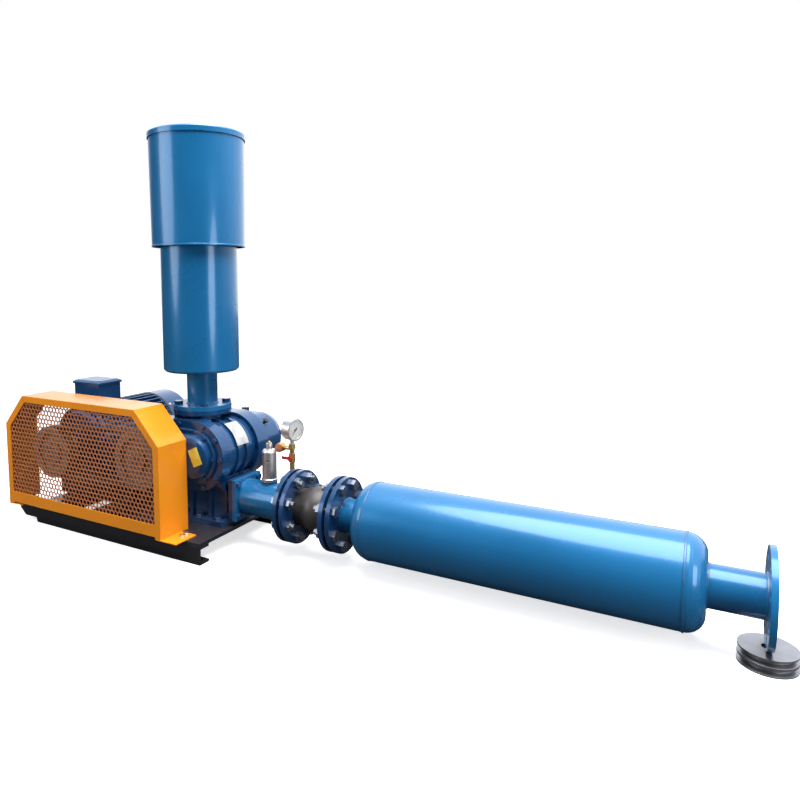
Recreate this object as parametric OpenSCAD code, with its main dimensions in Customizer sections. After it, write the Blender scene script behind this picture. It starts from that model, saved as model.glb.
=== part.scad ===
// Three-lobe rotary blower package: belt-driven blower, motor, belt guard, inlet and outlet silencers.
// Millimetres. X runs along the discharge line, Y along the shafts away from the guard, Z is up.
// The origin is on the floor, under the centre of the blower's inlet.

/* [Base frame] */
// Left end of the base frame, along X
base_left = -600; // [-640:5:-580]
// Right end of the base frame, along X
base_right = 155; // [150:5:200]
// Outer face of the front rail, along Y
base_front = -202; // [-210:1:-195]
// Outer face of the rear rail, along Y
base_back = 181; // [175:1:215]
// Height of the rail channels
rail_h = 50; // [45:1:60]
// Width of the rail flanges
rail_b = 37; // [30:1:45]
// Thickness of the rail web
rail_web = 4.5; // [4:0.5:6]
// Thickness of the rail flanges
rail_flange = 7; // [5:0.5:8]
// Thickness of the plate under the blower
plate_t = 10; // [8:1:14]
// Left edge of the plate under the blower
plate_left = -175; // [-190:5:-160]
// Diameter of the holes for anchor bolts
anchor_d = 14; // [10:1:16]

/* [Blower] */
// Distance between the two rotor shafts
rotor_cd = 116; // [112:1:118]
// Number of lobes on each rotor
lobes = 3; // [3:1:3]
// Length of the rotors
rotor_len = 156; // [140:2:160]
// Clearance cut from each rotor's outline
rotor_gap = 0.35; // [0.3:0.05:0.6]
// Gap between a lobe tip's theoretical circle and the casing bore
bore_gap = 0.3; // [0.2:0.05:0.5]
// Wall of the casing
case_wall = 10; // [8:0.5:12]
// How far the end flanges stand out from the casing
case_rim = 12; // [10:1:14]
// Thickness of each end plate
end_plate_t = 23; // [22:1:26]
// Height of the discharge box under the casing
box_h = 114; // [108:1:120]
// Diameter of the rotor shafts
shaft_d = 30; // [28:1:32]
// Outer diameter of the shaft bearings
bearing_od = 62; // [56:1:66]
// Width of the shaft bearings
bearing_w = 16; // [12:1:18]
// Height of the inlet flange's top face above the shafts
inlet_rise = 122; // [118:1:130]
// Diameter of the inlet flange
inlet_flange_d = 170; // [160:1:180]
// Thickness of the inlet flange
inlet_flange_t = 12; // [10:1:14]
// Length of the drive-end cover
drive_cover_l = 29; // [28:1:30]
// Radius of the drive-end cover about each shaft
drive_cover_r = 64; // [60:1:70]
// Radius of the gear case about each shaft
gear_case_r = 78; // [76:1:82]
// Length of the gear case
gear_case_l = 134; // [122:1:140]
// Teeth on each timing gear
gear_teeth = 29; // [29:2:29]
// Face width of the timing gears
gear_w = 36; // [28:1:40]

/* [Discharge line] */
// Height of the discharge line's centre above the floor
pipe_z = 135; // [132:1:138]
// Outer diameter of the pipes
pipe_d = 89; // [88:0.5:90]
// Wall of the pipes
pipe_wall = 4.5; // [3.5:0.5:5]
// Diameter of the pipe flanges
flange_d = 200; // [196:1:206]
// Thickness of the pipe flanges
flange_t = 12; // [10:1:13]
// Diameter of the circle of flange bolts
flange_pcd = 160; // [156:1:164]
// Number of flange bolts
flange_bolts_n = 8; // [8:4:8]
// Diameter of the flange bolt holes
flange_hole_d = 18; // [17.9:0.1:19]
// Diameter of the bolt holes in the rubber joint's flanges
joint_hole_d = 17.5; // [17:0.1:17.6]
// Side of the square flange at the discharge box
square_side = 118; // [116:1:124]
// Where the square flange joint lies, along X
square_x = 152; // [148:1:156]
// Outer diameter of the discharge spool
spool_d = 102; // [98:1:106]
// Outer face of the first pipe flange, along X
joint_x = 329; // [320:1:335]
// Length of the rubber joint between the two flanges
rubber_l = 151; // [145:1:156]
// Thickness of the rubber joint's sealing beads
bead_t = 10; // [8:1:12]
// Largest diameter of the rubber joint
rubber_d = 126; // [118:1:130]

/* [Outlet silencer] */
// Outer diameter of the outlet silencer
outlet_d = 200; // [190:1:206]
// Wall of the outlet silencer
outlet_wall = 3; // [2.5:0.5:4]
// Left seam of the silencer's shell, along X
shell_left = 578; // [575:1:600]
// Right seam of the silencer's shell, along X
shell_right = 1284; // [1250:1:1290]
// Depth of the silencer's rounded ends
head_l = 40; // [36:1:44]
// Outer face of the end flange, along X
end_x = 1438; // [1430:1:1450]
// Diameter of the spare pulley that props the end flange
prop_d = 106; // [100:1:120]

/* [Inlet silencer] */
// Outer diameter of the inlet silencer's body
inlet_d = 220; // [210:1:226]
// Wall of the inlet silencer
inlet_wall = 2.5; // [2:0.5:4]
// Underside of the inlet silencer's body above the floor
inlet_z = 494; // [480:1:510]
// Length of the inlet silencer's body
inlet_l = 420; // [400:5:440]
// Diameter of the hood at its bottom rim
hood_d = 266; // [260:1:270]
// Diameter of the hood at its top
hood_top_d = 272; // [268:1:276]
// Bottom rim of the hood above the floor
hood_z = 854; // [840:1:870]
// Length of the hood
hood_l = 314; // [300:1:330]
// How far the lid's rim stands out from the hood's top
lid_rim = 3; // [2:0.5:6]
// Thickness of the lid's rim
lid_t = 12; // [10:1:14]

/* [Drive] */
// Centre of the motor along X
motor_x = -420; // [-425:1:-410]
// Height of the motor's shaft above its feet
motor_h = 132; // [130:1:134]
// Height of the motor's slide rails
slide_h = 58; // [54:1:62]
// Diameter over the motor's fins
motor_d = 248; // [236:1:252]
// Diameter of the motor frame under its fins
motor_core_d = 216; // [208:1:220]
// Front face of the motor, along Y
motor_front = -126; // [-130:1:-122]
// Length of the motor frame between its end shields
motor_l = 300; // [280:5:310]
// Length of the fan cover
fan_cover_l = 100; // [90:1:110]
// Diameter of the motor shaft
motor_shaft_d = 38; // [36:1:40]
// Pitch diameter of the motor pulley
motor_pulley_d = 150; // [140:1:156]
// Pitch diameter of the blower pulley
blower_pulley_d = 160; // [150:1:162]
// Pitch from groove to groove of the pulleys
groove_pitch = 15; // [14:0.5:16]
// Top width of a belt
belt_top = 13; // [12:0.5:13]
// Height of a belt
belt_h = 8; // [7:0.5:8.5]
// Clearance between the belts and their grooves
belt_gap = 0.5; // [0.4:0.1:0.8]

/* [Belt guard] */
// Left side of the guard, along X
guard_left = -597; // [-620:1:-590]
// Right side of the guard, along X
guard_right = 52; // [44:1:60]
// Front face of the guard, along Y
guard_front = -240; // [-246:1:-238]
// Depth of the guard
guard_depth = 108; // [100:1:109]
// Height of the guard
guard_h = 350; // [340:1:370]
// Width of the guard's sloping corners
guard_corner_w = 86; // [70:1:95]
// Height of the guard's sloping corners
guard_corner_h = 93; // [80:1:100]
// Thickness of the guard's sheet
guard_t = 2.5; // [2:0.5:3]
// Width of the border round the mesh
guard_border = 20; // [16:1:26]
// Height of the bar under the mesh
guard_bar = 34; // [28:1:40]
// Pitch of the mesh holes
mesh_pitch = 20; // [18:1:26]
// Width of a mesh hole across its flats
mesh_hole = 15.5; // [12:0.5:16]
// Thickness of the mesh sheet
mesh_t = 2; // [1.5:0.5:2.5]

/* [Hidden] */
$fn = 64;
eps = 0.01;
fit = 0.05;
rest_gap = 0.3;

base_top = rail_h + plate_t;
base_d = base_back - base_front;

pitch_r = rotor_cd / 2;
roll_r = pitch_r / (2 * lobes);
tip_r = pitch_r + 2 * roll_r;
bore_r = tip_r + bore_gap;
case_r = bore_r + case_wall;
flange_r = case_r + case_rim;
shaft_z = base_top + box_h + case_r;
casing_half = rotor_len / 2 + rest_gap;
drive_plate_y = -casing_half - end_plate_t;
gear_plate_y = casing_half;
gear_case_y = casing_half + end_plate_t;
drive_cover_y = drive_plate_y - drive_cover_l;
inlet_top = shaft_z + inlet_rise;
shaft_hole_d = shaft_d + 6;
drive_x = -rotor_cd / 2;
cover_flange_t = 9;
driven_x = rotor_cd / 2;
port_d = pipe_d - 2 * pipe_wall;

bolt_ring_r = case_r + 2;

groove_n = 2;
pulley_w = groove_n * groove_pitch + 5;
pulley_y = guard_front + 25;
groove_depth = belt_h + 3.5;
belt_half_angle = 17;
motor_z = rail_h + slide_h + motor_h;
motor_back = motor_front + 26 + motor_l;
motor_bearing_od = 80;
motor_bearing_w = 18;
slide_l = 330;
slide_w = 44;
foot_x = 108;
foot_y = [motor_front + 91, motor_front + motor_l - 31];
cross_x = [motor_x - 105, motor_x + 105];
terminal_y = -30;
terminal_z = motor_z + motor_d / 2 + 4;
terminal_h = 62;
gland_h = 28;
rotor_core_d = motor_core_d * 0.6 - 1.6;
core_front = motor_front + 80;
core_l = motor_l - 108;

outlet_r = outlet_d / 2;
joint_end = joint_x + rubber_l;
head_left = shell_left - head_l;
head_right = shell_right + head_l;
prop_h = pipe_z - flange_d / 2;
square_bolt = 47;
inlet_pcd = 140;
relief_x = 241;
relief_z = pipe_z + spool_d / 2 + 6;
gauge_x = 297;
gauge_y = 32;
gauge_z = 339;
gauge_r = 31;
gauge_turn = 78;
cock_z = 258;
cock_d = 21;

guard_tab = 55;
guard_bolt_x = guard_right + guard_tab / 2;
guard_left_bolt_x = guard_left + 34;
guard_bolt_y = [base_front + 14, base_front + 30];

bolt_m6 = 6;
bolt_m8 = 8;
bolt_m10 = 10;
bolt_m16 = 16;

blue = [0.07, 0.30, 0.55];
dark_blue = [0.05, 0.14, 0.34];
guard_orange = [0.95, 0.60, 0.12];
black_paint = [0.08, 0.08, 0.09];
bright_steel = [0.78, 0.79, 0.80];
cast_grey = [0.55, 0.56, 0.58];
rubber_black = [0.06, 0.06, 0.06];
brass = [0.78, 0.62, 0.28];
signal_red = [0.75, 0.10, 0.08];

// Extrudes a flat outline, drawn in X and Z, along Y
module along_y(y, l) {
    translate([0, y + l, 0]) rotate([90, 0, 0]) linear_extrude(l) children();
}

// Extrudes a flat outline, drawn in Y and Z, along X
module along_x(x, l) {
    translate([x, 0, 0]) rotate([90, 0, 90]) linear_extrude(l) children();
}

// A straight cylinder along Y
module rod_y(y, l, d) {
    translate([0, y, 0]) rotate([-90, 0, 0]) cylinder(h = l, d = d);
}

// A straight cylinder along X
module rod_x(x, l, d) {
    translate([x, 0, 0]) rotate([0, 90, 0]) cylinder(h = l, d = d);
}

// Turns a half outline (radius, length) about the Y axis
module turn_y() {
    rotate([-90, 0, 0]) rotate_extrude() children();
}

// Turns a half outline (radius, length) about the X axis
module turn_x() {
    rotate([0, 90, 0]) rotate_extrude() children();
}

// The long oval that holds two circles side by side
module oval(cd, r) {
    for (s = [-1, 1]) translate([s * cd / 2, 0]) circle(r);
    square([cd, 2 * r], center = true);
}

// Carries a half outline (radius, length along Y) round the long oval
module oval_turn(cd) {
    for (s = [-1, 1]) translate([s * cd / 2, 0, 0]) turn_y() children();
    for (m = [0, 1]) mirror([0, 0, m]) translate([cd / 2, 0, 0]) rotate([0, -90, 0])
        linear_extrude(cd) children();
}

// Hexagon-head bolt with its head's underside at z = 0 and its shank downwards
module hex_bolt(d, l, nut = 0) {
    cylinder(h = 0.65 * d, d = 1.85 * d, $fn = 6);
    translate([0, 0, -l]) cylinder(h = l + eps, d = d);
    if (nut > 0) translate([0, 0, -nut - 0.8 * d]) cylinder(h = 0.8 * d, d = 1.85 * d, $fn = 6);
}

// Places children on a circle round the X axis at the discharge line's height
module round_line(n, pcd, x) {
    for (i = [0 : n - 1]) translate([x, 0, pipe_z]) rotate([(i + 0.5) * 360 / n, 0, 0])
        translate([0, pcd / 2, 0]) rotate([0, 90, 0]) children();
}

// Bolt places round the casing's oval end flanges, as [x, z] from the casing's centre
function end_bolt_places() = concat(
    [for (s = [-1, 1], a = [-72, -36, 0, 36, 72])
        [s * (rotor_cd / 2 + bolt_ring_r * cos(a)), bolt_ring_r * sin(a)]],
    [for (s = [-1, 1]) [0, s * bolt_ring_r]]);

// Screw places round the drive-end cover's flange, as [x, z] from the casing's centre
function cover_bolt_places() = concat(
    [for (s = [-1, 1], a = [-54, 0, 54]) let (r = drive_cover_r + 6)
        [s * (rotor_cd / 2 + r * cos(a)), r * sin(a)]],
    [for (s = [-1, 1]) [0, s * (drive_cover_r + 6)]]);

// One of a rotor's rolling-curve points, moved inwards by the clearance.
// k counts half-lobes and t runs from 0 to 1 along each one.
function rotor_point(k, t, gap) =
    let (
        out = k % 2 == 0 ? 1 : -1,
        phi = (k + t - 0.5) * 180 / lobes,
        turn = t * 360,
        contact = pitch_r * [cos(phi), sin(phi)],
        centre = (pitch_r + out * roll_r) * [cos(phi), sin(phi)],
        spin = out > 0 ? phi + 180 + turn : phi - turn,
        p = centre + roll_r * [cos(spin), sin(spin)],
        inward = (contact - p) / norm(contact - p)
    ) p + out * gap * inward;

function rotor_outline(steps = 12) =
    [for (k = [0 : 2 * lobes - 1], i = [0 : steps - 1]) rotor_point(k, (i + 0.5) / steps, rotor_gap)];

// Involute flank point of a gear of base radius rb at radius r, as an angle in degrees
function involute_angle(rb, r) =
    let (a = acos(min(1, rb / r))) tan(a) * 180 / PI - a;

// Full outline of an involute gear with a little backlash
function gear_outline(z, m, backlash) =
    let (
        rp = z * m / 2,
        rb = rp * cos(20),
        ra = rp + m * 0.95,
        rf = rp - m * 1.3,
        half = 90 / z - backlash / (2 * rp) * 180 / PI,
        radii = [for (i = [0 : 3]) max(rb, rf) + (ra - max(rb, rf)) * i / 3],
        flank = [for (r = radii) [r, half + involute_angle(rb, rp) - involute_angle(rb, r)]]
    )
    [for (i = [0 : z - 1]) let (c = i * 360 / z) each concat(
        [[rf * cos(c - flank[0][1] - 0.6), rf * sin(c - flank[0][1] - 0.6)]],
        [for (f = flank) [f[0] * cos(c - f[1]), f[0] * sin(c - f[1])]],
        [for (j = [3 : -1 : 0]) [flank[j][0] * cos(c + flank[j][1]), flank[j][0] * sin(c + flank[j][1])]],
        [[rf * cos(c + flank[0][1] + 0.6), rf * sin(c + flank[0][1] + 0.6)]]
    )];

// Base frame

// Channel rail with its web on the outer face and a lifted, cut-away left end
module rail(outer_y, inward) {
    lift = 14;
    foot_left = base_left + 82;
    web_y = inward > 0 ? outer_y : outer_y - rail_web;
    flange_y = inward > 0 ? outer_y : outer_y - rail_b;
    difference() {
        union() {
            along_y(web_y, rail_web) polygon([
                [foot_left, 0], [foot_left - 5, lift], [base_left + 26, lift], [base_left, rail_h * 0.7],
                [base_left, rail_h], [base_right, rail_h], [base_right, 0]]);
            translate([base_left, flange_y, rail_h - rail_flange])
                cube([base_right - base_left, rail_b, rail_flange]);
            translate([foot_left, flange_y, 0]) cube([base_right - foot_left, rail_b, rail_flange]);
        }
        for (x = [foot_left + 25, base_right - 25])
            translate([x, outer_y + inward * rail_b * 0.6, -eps])
                cylinder(h = rail_flange + 2 * eps, d = anchor_d);
    }
}

// Front rail with the pad that carries the guard's left foot
module front_rail() {
    color(black_paint) difference() {
        union() {
            rail(base_front, 1);
            translate([base_left, base_front, rail_h - eps]) cube([guard_tab + 12, rail_b, plate_t + eps]);
        }
        for (y = guard_bolt_y, x = [guard_bolt_x, guard_left_bolt_x])
            translate([x, y, rail_h - rail_flange - 1])
                cylinder(h = rail_flange + plate_t + 2, d = bolt_m8 + 1);
    }
}

module rear_rail() {
    color(black_paint) rail(base_back, -1);
}

// Channel between the rails with its web on top, as under the motor
module cross_member(x) {
    w = 50;
    translate([x, 0, 0]) along_y(base_front + rail_b, base_d - 2 * rail_b) difference() {
        translate([-w / 2, 0]) square([w, rail_h]);
        translate([-w / 2 + rail_web, -eps]) square([w - 2 * rail_web, rail_h - rail_web + eps]);
    }
}

module cross_members() {
    color(black_paint) {
        for (x = cross_x) cross_member(x);
        along_y(base_front + rail_b, base_d - 2 * rail_b) difference() {
            translate([-20, 0]) square([40, rail_h]);
            translate([-20 + rail_web, rail_web]) square([40 - 2 * rail_web, rail_h]);
        }
    }
}

module blower_plate() {
    color(black_paint) difference() {
        translate([plate_left, base_front, rail_h])
            cube([base_right - plate_left, base_d, plate_t]);
        for (p = box_bolt_places()) translate([p[0], p[1], rail_h - eps])
            cylinder(h = plate_t + 2 * eps, d = bolt_m10 + 1);
        for (y = guard_bolt_y) translate([guard_bolt_x, y, rail_h - eps])
            cylinder(h = plate_t + 2 * eps, d = bolt_m8 + 1);
    }
}

// Slotted rail on which the motor slides to tighten the belts
module slide_rail(y) {
    rise = rail_h;
    translate([motor_x, y, 0]) difference() {
        translate([-slide_l / 2, -slide_w / 2, rise]) cube([slide_l, slide_w, slide_h]);
        translate([-slide_l / 2 - eps, -slide_w / 2 + 6, rise - eps])
            cube([slide_l + 2 * eps, slide_w - 12, slide_h - 8]);
        for (s = [-1, 1]) translate([s * foot_x, 0, rise]) hull()
            for (d = [-1, 1]) translate([d * 24, 0, 0]) cylinder(h = slide_h + eps, d = 13);
    }
}

module motor_slide_rails() {
    color(black_paint) for (y = foot_y) slide_rail(y);
}

// Belt guard

// Front outline of the guard, drawn in X and Z and drawn in by d
module guard_outline(d) {
    c = guard_corner_w;
    k = guard_corner_h;
    s = d * (norm([c, k]) - k) / c;
    q = d * (norm([c, k]) - c) / k;
    translate([0, base_top]) polygon([
        [guard_left + d, 0], [guard_left + d, guard_h - k - s],
        [guard_left + c + q, guard_h - d], [guard_right - c - q, guard_h - d],
        [guard_right - d, guard_h - k - s], [guard_right - d, 0]]);
}

// Opening of the guard's front border, above its bottom bar
module guard_window(d) {
    intersection() {
        guard_outline(d);
        translate([guard_left, base_top + 8 + guard_bar])
            square([guard_right - guard_left, guard_h]);
    }
}

module belt_guard() {
    bar_lift = 8;
    color(guard_orange) difference() {
        union() {
            along_y(guard_front, guard_t) guard_outline(0);
            along_y(guard_front, guard_depth) difference() {
                guard_outline(0);
                guard_outline(guard_t);
            }
            translate([guard_right, guard_front, base_top]) cube([guard_tab, 80, guard_t]);
            translate([guard_left + guard_t - eps, guard_front, base_top])
                cube([guard_tab, 80, guard_t]);
        }
        along_y(guard_front - eps, guard_t + 2 * eps) guard_window(guard_border);
        translate([guard_left + guard_border, guard_front - eps, base_top - eps])
            cube([guard_right - guard_left - 2 * guard_border, guard_t + 2 * eps, bar_lift]);
        for (y = guard_bolt_y, x = [guard_bolt_x, guard_left_bolt_x]) translate([x, y, base_top - eps])
            cylinder(h = guard_t + 2 * eps, d = bolt_m8 + 1);
    }
}

// Hexagon-holed sheet spot-welded behind the guard's border
module guard_mesh() {
    row = mesh_pitch * sin(60);
    left = guard_left + guard_border;
    bottom = base_top + 8 + guard_bar;
    cols = floor((guard_right - guard_left - 2 * guard_border) / mesh_pitch) - 1;
    rows = floor((guard_h - guard_bar - 8 - guard_border) / row) - 1;
    color(guard_orange) difference() {
        along_y(guard_front + guard_t, mesh_t) intersection() {
            guard_outline(guard_t + 1);
            translate([guard_left, base_top + 8 + guard_bar - 10])
                square([guard_right - guard_left, guard_h]);
        }
        for (j = [0 : rows], i = [0 : cols]) {
            x = left + mesh_pitch * (i + 0.6 + (j % 2) / 2);
            z = bottom + row * (j + 0.65);
            edge = min(x - guard_left, guard_right - x) - mesh_hole / 2;
            top = base_top + guard_h - z - mesh_hole / 2;
            if (edge > guard_border && top > guard_border &&
                edge + top * guard_corner_w / guard_corner_h > guard_corner_w + guard_border * 1.6)
                translate([x, guard_front + guard_t - eps, z]) rotate([-90, 30, 0])
                    cylinder(h = mesh_t + 2 * eps, d = mesh_hole / cos(30), $fn = 6);
        }
    }
}

module guard_bolts() {
    color(bright_steel) for (y = guard_bolt_y, x = [guard_bolt_x, guard_left_bolt_x])
        translate([x, y, base_top + guard_t])
            hex_bolt(bolt_m8, plate_t + guard_t + rail_flange + 9, nut = plate_t + guard_t + rail_flange);
}

// Motor

module at_motor() {
    translate([motor_x, 0, motor_z]) children();
}

module motor_frame() {
    fins = 40;
    y0 = motor_front + 26;
    core_r = motor_core_d / 2;
    color(blue) difference() {
        union() {
            at_motor() rod_y(y0, motor_l, motor_core_d);
            at_motor() for (i = [0 : fins - 1]) rotate([0, i * 360 / fins, 0])
                translate([core_r - 3, y0 + 8, -1.6])
                    cube([(motor_d - motor_core_d) / 2 + 3, motor_l - 16, 3.2]);
            at_motor() for (y = [y0, y0 + motor_l - 14]) rod_y(y, 14, motor_d - 6);
            for (y = foot_y, s = [-1, 1]) translate([motor_x + s * foot_x, y, motor_z - motor_h])
                motor_foot(s);
            translate([motor_x - 52, terminal_y - 34, motor_z]) cube([104, 68, terminal_z - motor_z]);
        }
        at_motor() rod_y(y0 - eps, motor_l + 2 * eps, motor_core_d - 16);
    }
}

// One foot with its web up to the frame and the hole for its bolt
module motor_foot(s) {
    difference() {
        union() {
            translate([-26, -24, 0]) cube([52, 48, 14]);
            translate([-s * 14 - 8, -24, 0]) cube([16, 48, 75]);
        }
        translate([s * 6, 0, -eps]) cylinder(h = 16, d = 13);
    }
}

module motor_end_shields() {
    r = motor_core_d / 2;
    rear_d = motor_shaft_d - 8;
    color(blue) at_motor() {
        difference() {
            turn_y() polygon([
                [0, motor_front], [40, motor_front], [48, motor_front + 7], [78, motor_front + 9],
                [r - 6, motor_front + 14], [r + 2, motor_front + 26], [0, motor_front + 26]]);
            rod_y(motor_front - eps, 30, motor_shaft_d + 2);
            rod_y(motor_front + 26 - motor_bearing_w, motor_bearing_w + eps, motor_bearing_od);
        }
        difference() {
            turn_y() polygon([
                [0, motor_back], [r + 2, motor_back], [r - 8, motor_back + 12],
                [50, motor_back + 16], [46, motor_back + 22], [0, motor_back + 22]]);
            rod_y(motor_back - eps, 30, rear_d + 2);
            rod_y(motor_back - eps, motor_bearing_w + eps, motor_bearing_od);
        }
    }
}

module motor_bearings() {
    color(bright_steel) at_motor() {
        ball_bearing(motor_front + 26 - motor_bearing_w, motor_shaft_d, motor_bearing_od, motor_bearing_w);
        ball_bearing(motor_back, motor_shaft_d - 8, motor_bearing_od, motor_bearing_w);
    }
}

module fan_cover() {
    y0 = motor_back - 6;
    r = motor_d / 2 - 1;
    color(blue) at_motor() difference() {
        turn_y() polygon([
            [r - 2, y0], [r, y0], [r, y0 + fan_cover_l - 14], [r - 5, y0 + fan_cover_l - 4],
            [r - 14, y0 + fan_cover_l], [0, y0 + fan_cover_l], [0, y0 + fan_cover_l - 2],
            [r - 15, y0 + fan_cover_l - 2], [r - 7, y0 + fan_cover_l - 6], [r - 2, y0 + fan_cover_l - 15]]);
        for (ring = [30, 48, 66, 84], i = [0 : 5]) rotate([0, i * 60, 0])
            translate([0, y0 + fan_cover_l - 4, 0]) rotate([-90, 0, 0]) rotate([0, 0, 6])
                rotate_extrude(angle = 48) translate([ring, 0]) square([9, 6]);
    }
}

module terminal_box() {
    box_w = 112;
    box_d = 88;
    wall = 5;
    color(blue) difference() {
        translate([motor_x - box_w / 2, terminal_y - box_d / 2, terminal_z]) cube([box_w, box_d, terminal_h]);
        translate([motor_x - box_w / 2 + wall, terminal_y - box_d / 2 + wall, terminal_z + wall])
            cube([box_w - 2 * wall, box_d - 2 * wall, terminal_h]);
        translate([motor_x - box_w / 2 - 4, terminal_y, terminal_z + gland_h])
            rotate([0, 90, 0]) cylinder(h = 12, d = 21);
    }
}

module terminal_lid() {
    color(blue) translate([motor_x, terminal_y, terminal_z + terminal_h]) difference() {
        union() {
            translate([-60, -48, 0]) cube([120, 96, 6]);
            hull() {
                translate([-60, -48, 6 - eps]) cube([120, 96, eps]);
                translate([-52, -40, 12 - eps]) cube([104, 80, eps]);
            }
        }
        for (x = [-50, 50], y = [-38, 38]) translate([x, y, 7]) cylinder(h = 10, d = 9);
    }
}

module cable_gland() {
    color(rubber_black) translate([motor_x - 56, terminal_y, terminal_z + gland_h]) rotate([0, -90, 0])
        difference() {
            union() {
                translate([0, 0, -5]) cylinder(h = 6, d = 20.6);
                cylinder(h = 7, d = 30, $fn = 6);
                translate([0, 0, 7 - eps]) cylinder(h = 11, d = 25);
                translate([0, 0, 18 - 2 * eps]) cylinder(h = 5, d1 = 25, d2 = 18);
            }
            translate([0, 0, -6]) cylinder(h = 40, d = 13);
        }
}

module motor_stator() {
    overhang = 4;
    color(cast_grey) at_motor() difference() {
        rod_y(core_front - overhang, core_l + 2 * overhang, motor_core_d - 16);
        rod_y(core_front - overhang - 1, core_l + 2 * overhang + 2, rotor_core_d + 2);
    }
}

module motor_feet_bolts() {
    color(bright_steel) for (y = foot_y, s = [-1, 1])
        translate([motor_x + s * (foot_x + 6), y, motor_z - motor_h + 14]) hex_bolt(12, 30, nut = 22);
}

module motor_shaft() {
    color(bright_steel) at_motor() {
        rod_y(pulley_y, motor_back - 4 - pulley_y, motor_shaft_d);
        rod_y(motor_back - 4 - eps, 58, motor_shaft_d - 8);
    }
}

module motor_rotor() {
    color(cast_grey) at_motor() difference() {
        rod_y(core_front, core_l, rotor_core_d);
        rod_y(core_front - 1, core_l + 2, motor_shaft_d);
    }
}

module cooling_fan() {
    y0 = motor_back + 26;
    blade_w = 26;
    blade_t = 3;
    hub_d = 56;
    disc_d = 170;
    blades = 8;
    color(black_paint) at_motor() difference() {
        union() {
            rod_y(y0, blade_w, hub_d);
            rod_y(y0, 4, disc_d);
            for (i = [0 : blades - 1]) rotate([0, i * 360 / blades, 0])
                translate([hub_d / 2 - 4, y0, -blade_t / 2])
                    cube([(disc_d - hub_d) / 2 + 5, blade_w, blade_t]);
        }
        rod_y(y0 - eps, blade_w + 4, motor_shaft_d - 8);
    }
}

// Drive

// Grooved pulley about the Y axis, with its hub bored for the shaft
module grooved_pulley(pitch_d, bore, y, web) {
    rim_r = pitch_d / 2 + 4;
    half = belt_top / 2 + belt_gap;
    slope = tan(belt_half_angle);
    difference() {
        turn_y() polygon(concat(
            [[bore / 2, y], [rim_r, y]],
            [for (g = [0 : groove_n - 1]) let (c = y + 2.5 + groove_pitch * (g + 0.5)) each [
                [rim_r, c - half - 0.6], [rim_r - groove_depth, c - half - 0.6 + groove_depth * slope],
                [rim_r - groove_depth, c + half + 0.6 - groove_depth * slope], [rim_r, c + half + 0.6]]],
            [[rim_r, y + pulley_w], [bore / 2, y + pulley_w]]));
        if (web > 0) turn_y() translate([bore / 2 + 16, y - eps])
            square([rim_r - groove_depth - 10 - bore / 2 - 16, web]);
    }
}

module motor_pulley() {
    color(cast_grey) at_motor() grooved_pulley(motor_pulley_d, motor_shaft_d, pulley_y, 10);
}

module blower_pulley() {
    color(cast_grey) translate([drive_x, 0, shaft_z])
        grooved_pulley(blower_pulley_d, shaft_d, pulley_y, 10);
}

// Trapezoid of one belt, as radius from its pulley's centre and place along Y
module belt_section(r, c) {
    taper = belt_h * tan(belt_half_angle);
    polygon([
        [r + 2, c - belt_top / 2], [r + 2, c + belt_top / 2],
        [r + 2 - belt_h, c + belt_top / 2 - taper], [r + 2 - belt_h, c - belt_top / 2 + taper]]);
}

module v_belts() {
    dx = drive_x - motor_x;
    dz = shaft_z - motor_z;
    span = norm([dx, dz]);
    tilt = atan2(dz, dx);
    r1 = motor_pulley_d / 2;
    r2 = blower_pulley_d / 2;
    lean = asin((r2 - r1) / span);
    run = span * cos(lean);
    color(rubber_black) at_motor() rotate([0, -tilt, 0]) for (g = [0 : groove_n - 1]) {
        c = pulley_y + 2.5 + groove_pitch * (g + 0.5);
        rotate([-90, 0, 0]) rotate([0, 0, 90 + lean]) rotate_extrude(angle = 180 - 2 * lean)
            belt_section(r1, c);
        translate([span, 0, 0]) rotate([-90, 0, 0]) rotate([0, 0, -90 - lean])
            rotate_extrude(angle = 180 + 2 * lean) belt_section(r2, c);
        for (m = [0, 1]) mirror([0, 0, m]) rotate([0, -lean, 0]) rotate([0, -90, 0]) mirror([0, 0, 1])
            linear_extrude(run) belt_section(r1, c);
    }
}

// Blower

module at_blower() {
    translate([0, 0, shaft_z]) children();
}

function box_bolt_places() = [for (x = [-100, -33, 34, 102], y = [-68, 68]) [x, y]];

// Box under the casing that turns the discharge from down to sideways
module discharge_box() {
    half_y = 52;
    left = -118;
    color(dark_blue) difference() {
        union() {
            translate([left, -half_y, base_top]) cube([square_x - left - 25, 2 * half_y, box_h]);
            translate([0, 0, pipe_z]) rod_x(square_x - 26, 14, 100);
            translate([left - 8, -half_y - 30, base_top]) cube([square_x - left - 14, 2 * half_y + 60, 15]);
            translate([left - 8, -half_y - 8, base_top + box_h - 14])
                cube([2 * (8 - left), 2 * half_y + 16, 14]);
            translate([square_x - 13, -square_side / 2, pipe_z - square_side / 2])
                cube([13, square_side, square_side]);
            for (x = [-70, 0, 70])
                translate([x - 4, -half_y - 8, base_top]) cube([8, 2 * half_y + 16, box_h]);
        }
        translate([-45, -40, pipe_z - 30]) cube([90, 80, box_h]);
        translate([0, 0, pipe_z]) rod_x(-45, square_x + 46, port_d);
        for (p = box_bolt_places()) translate([p[0], p[1], base_top - eps])
            cylinder(h = 16, d = bolt_m10 + 1);
        square_holes(square_x - 14, 15);
    }
}

module square_holes(x, l) {
    for (y = [-square_bolt, square_bolt], z = [-square_bolt, square_bolt])
        translate([x, y, pipe_z + z]) rotate([0, 90, 0]) cylinder(h = l, d = bolt_m10 + 1);
}

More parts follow.
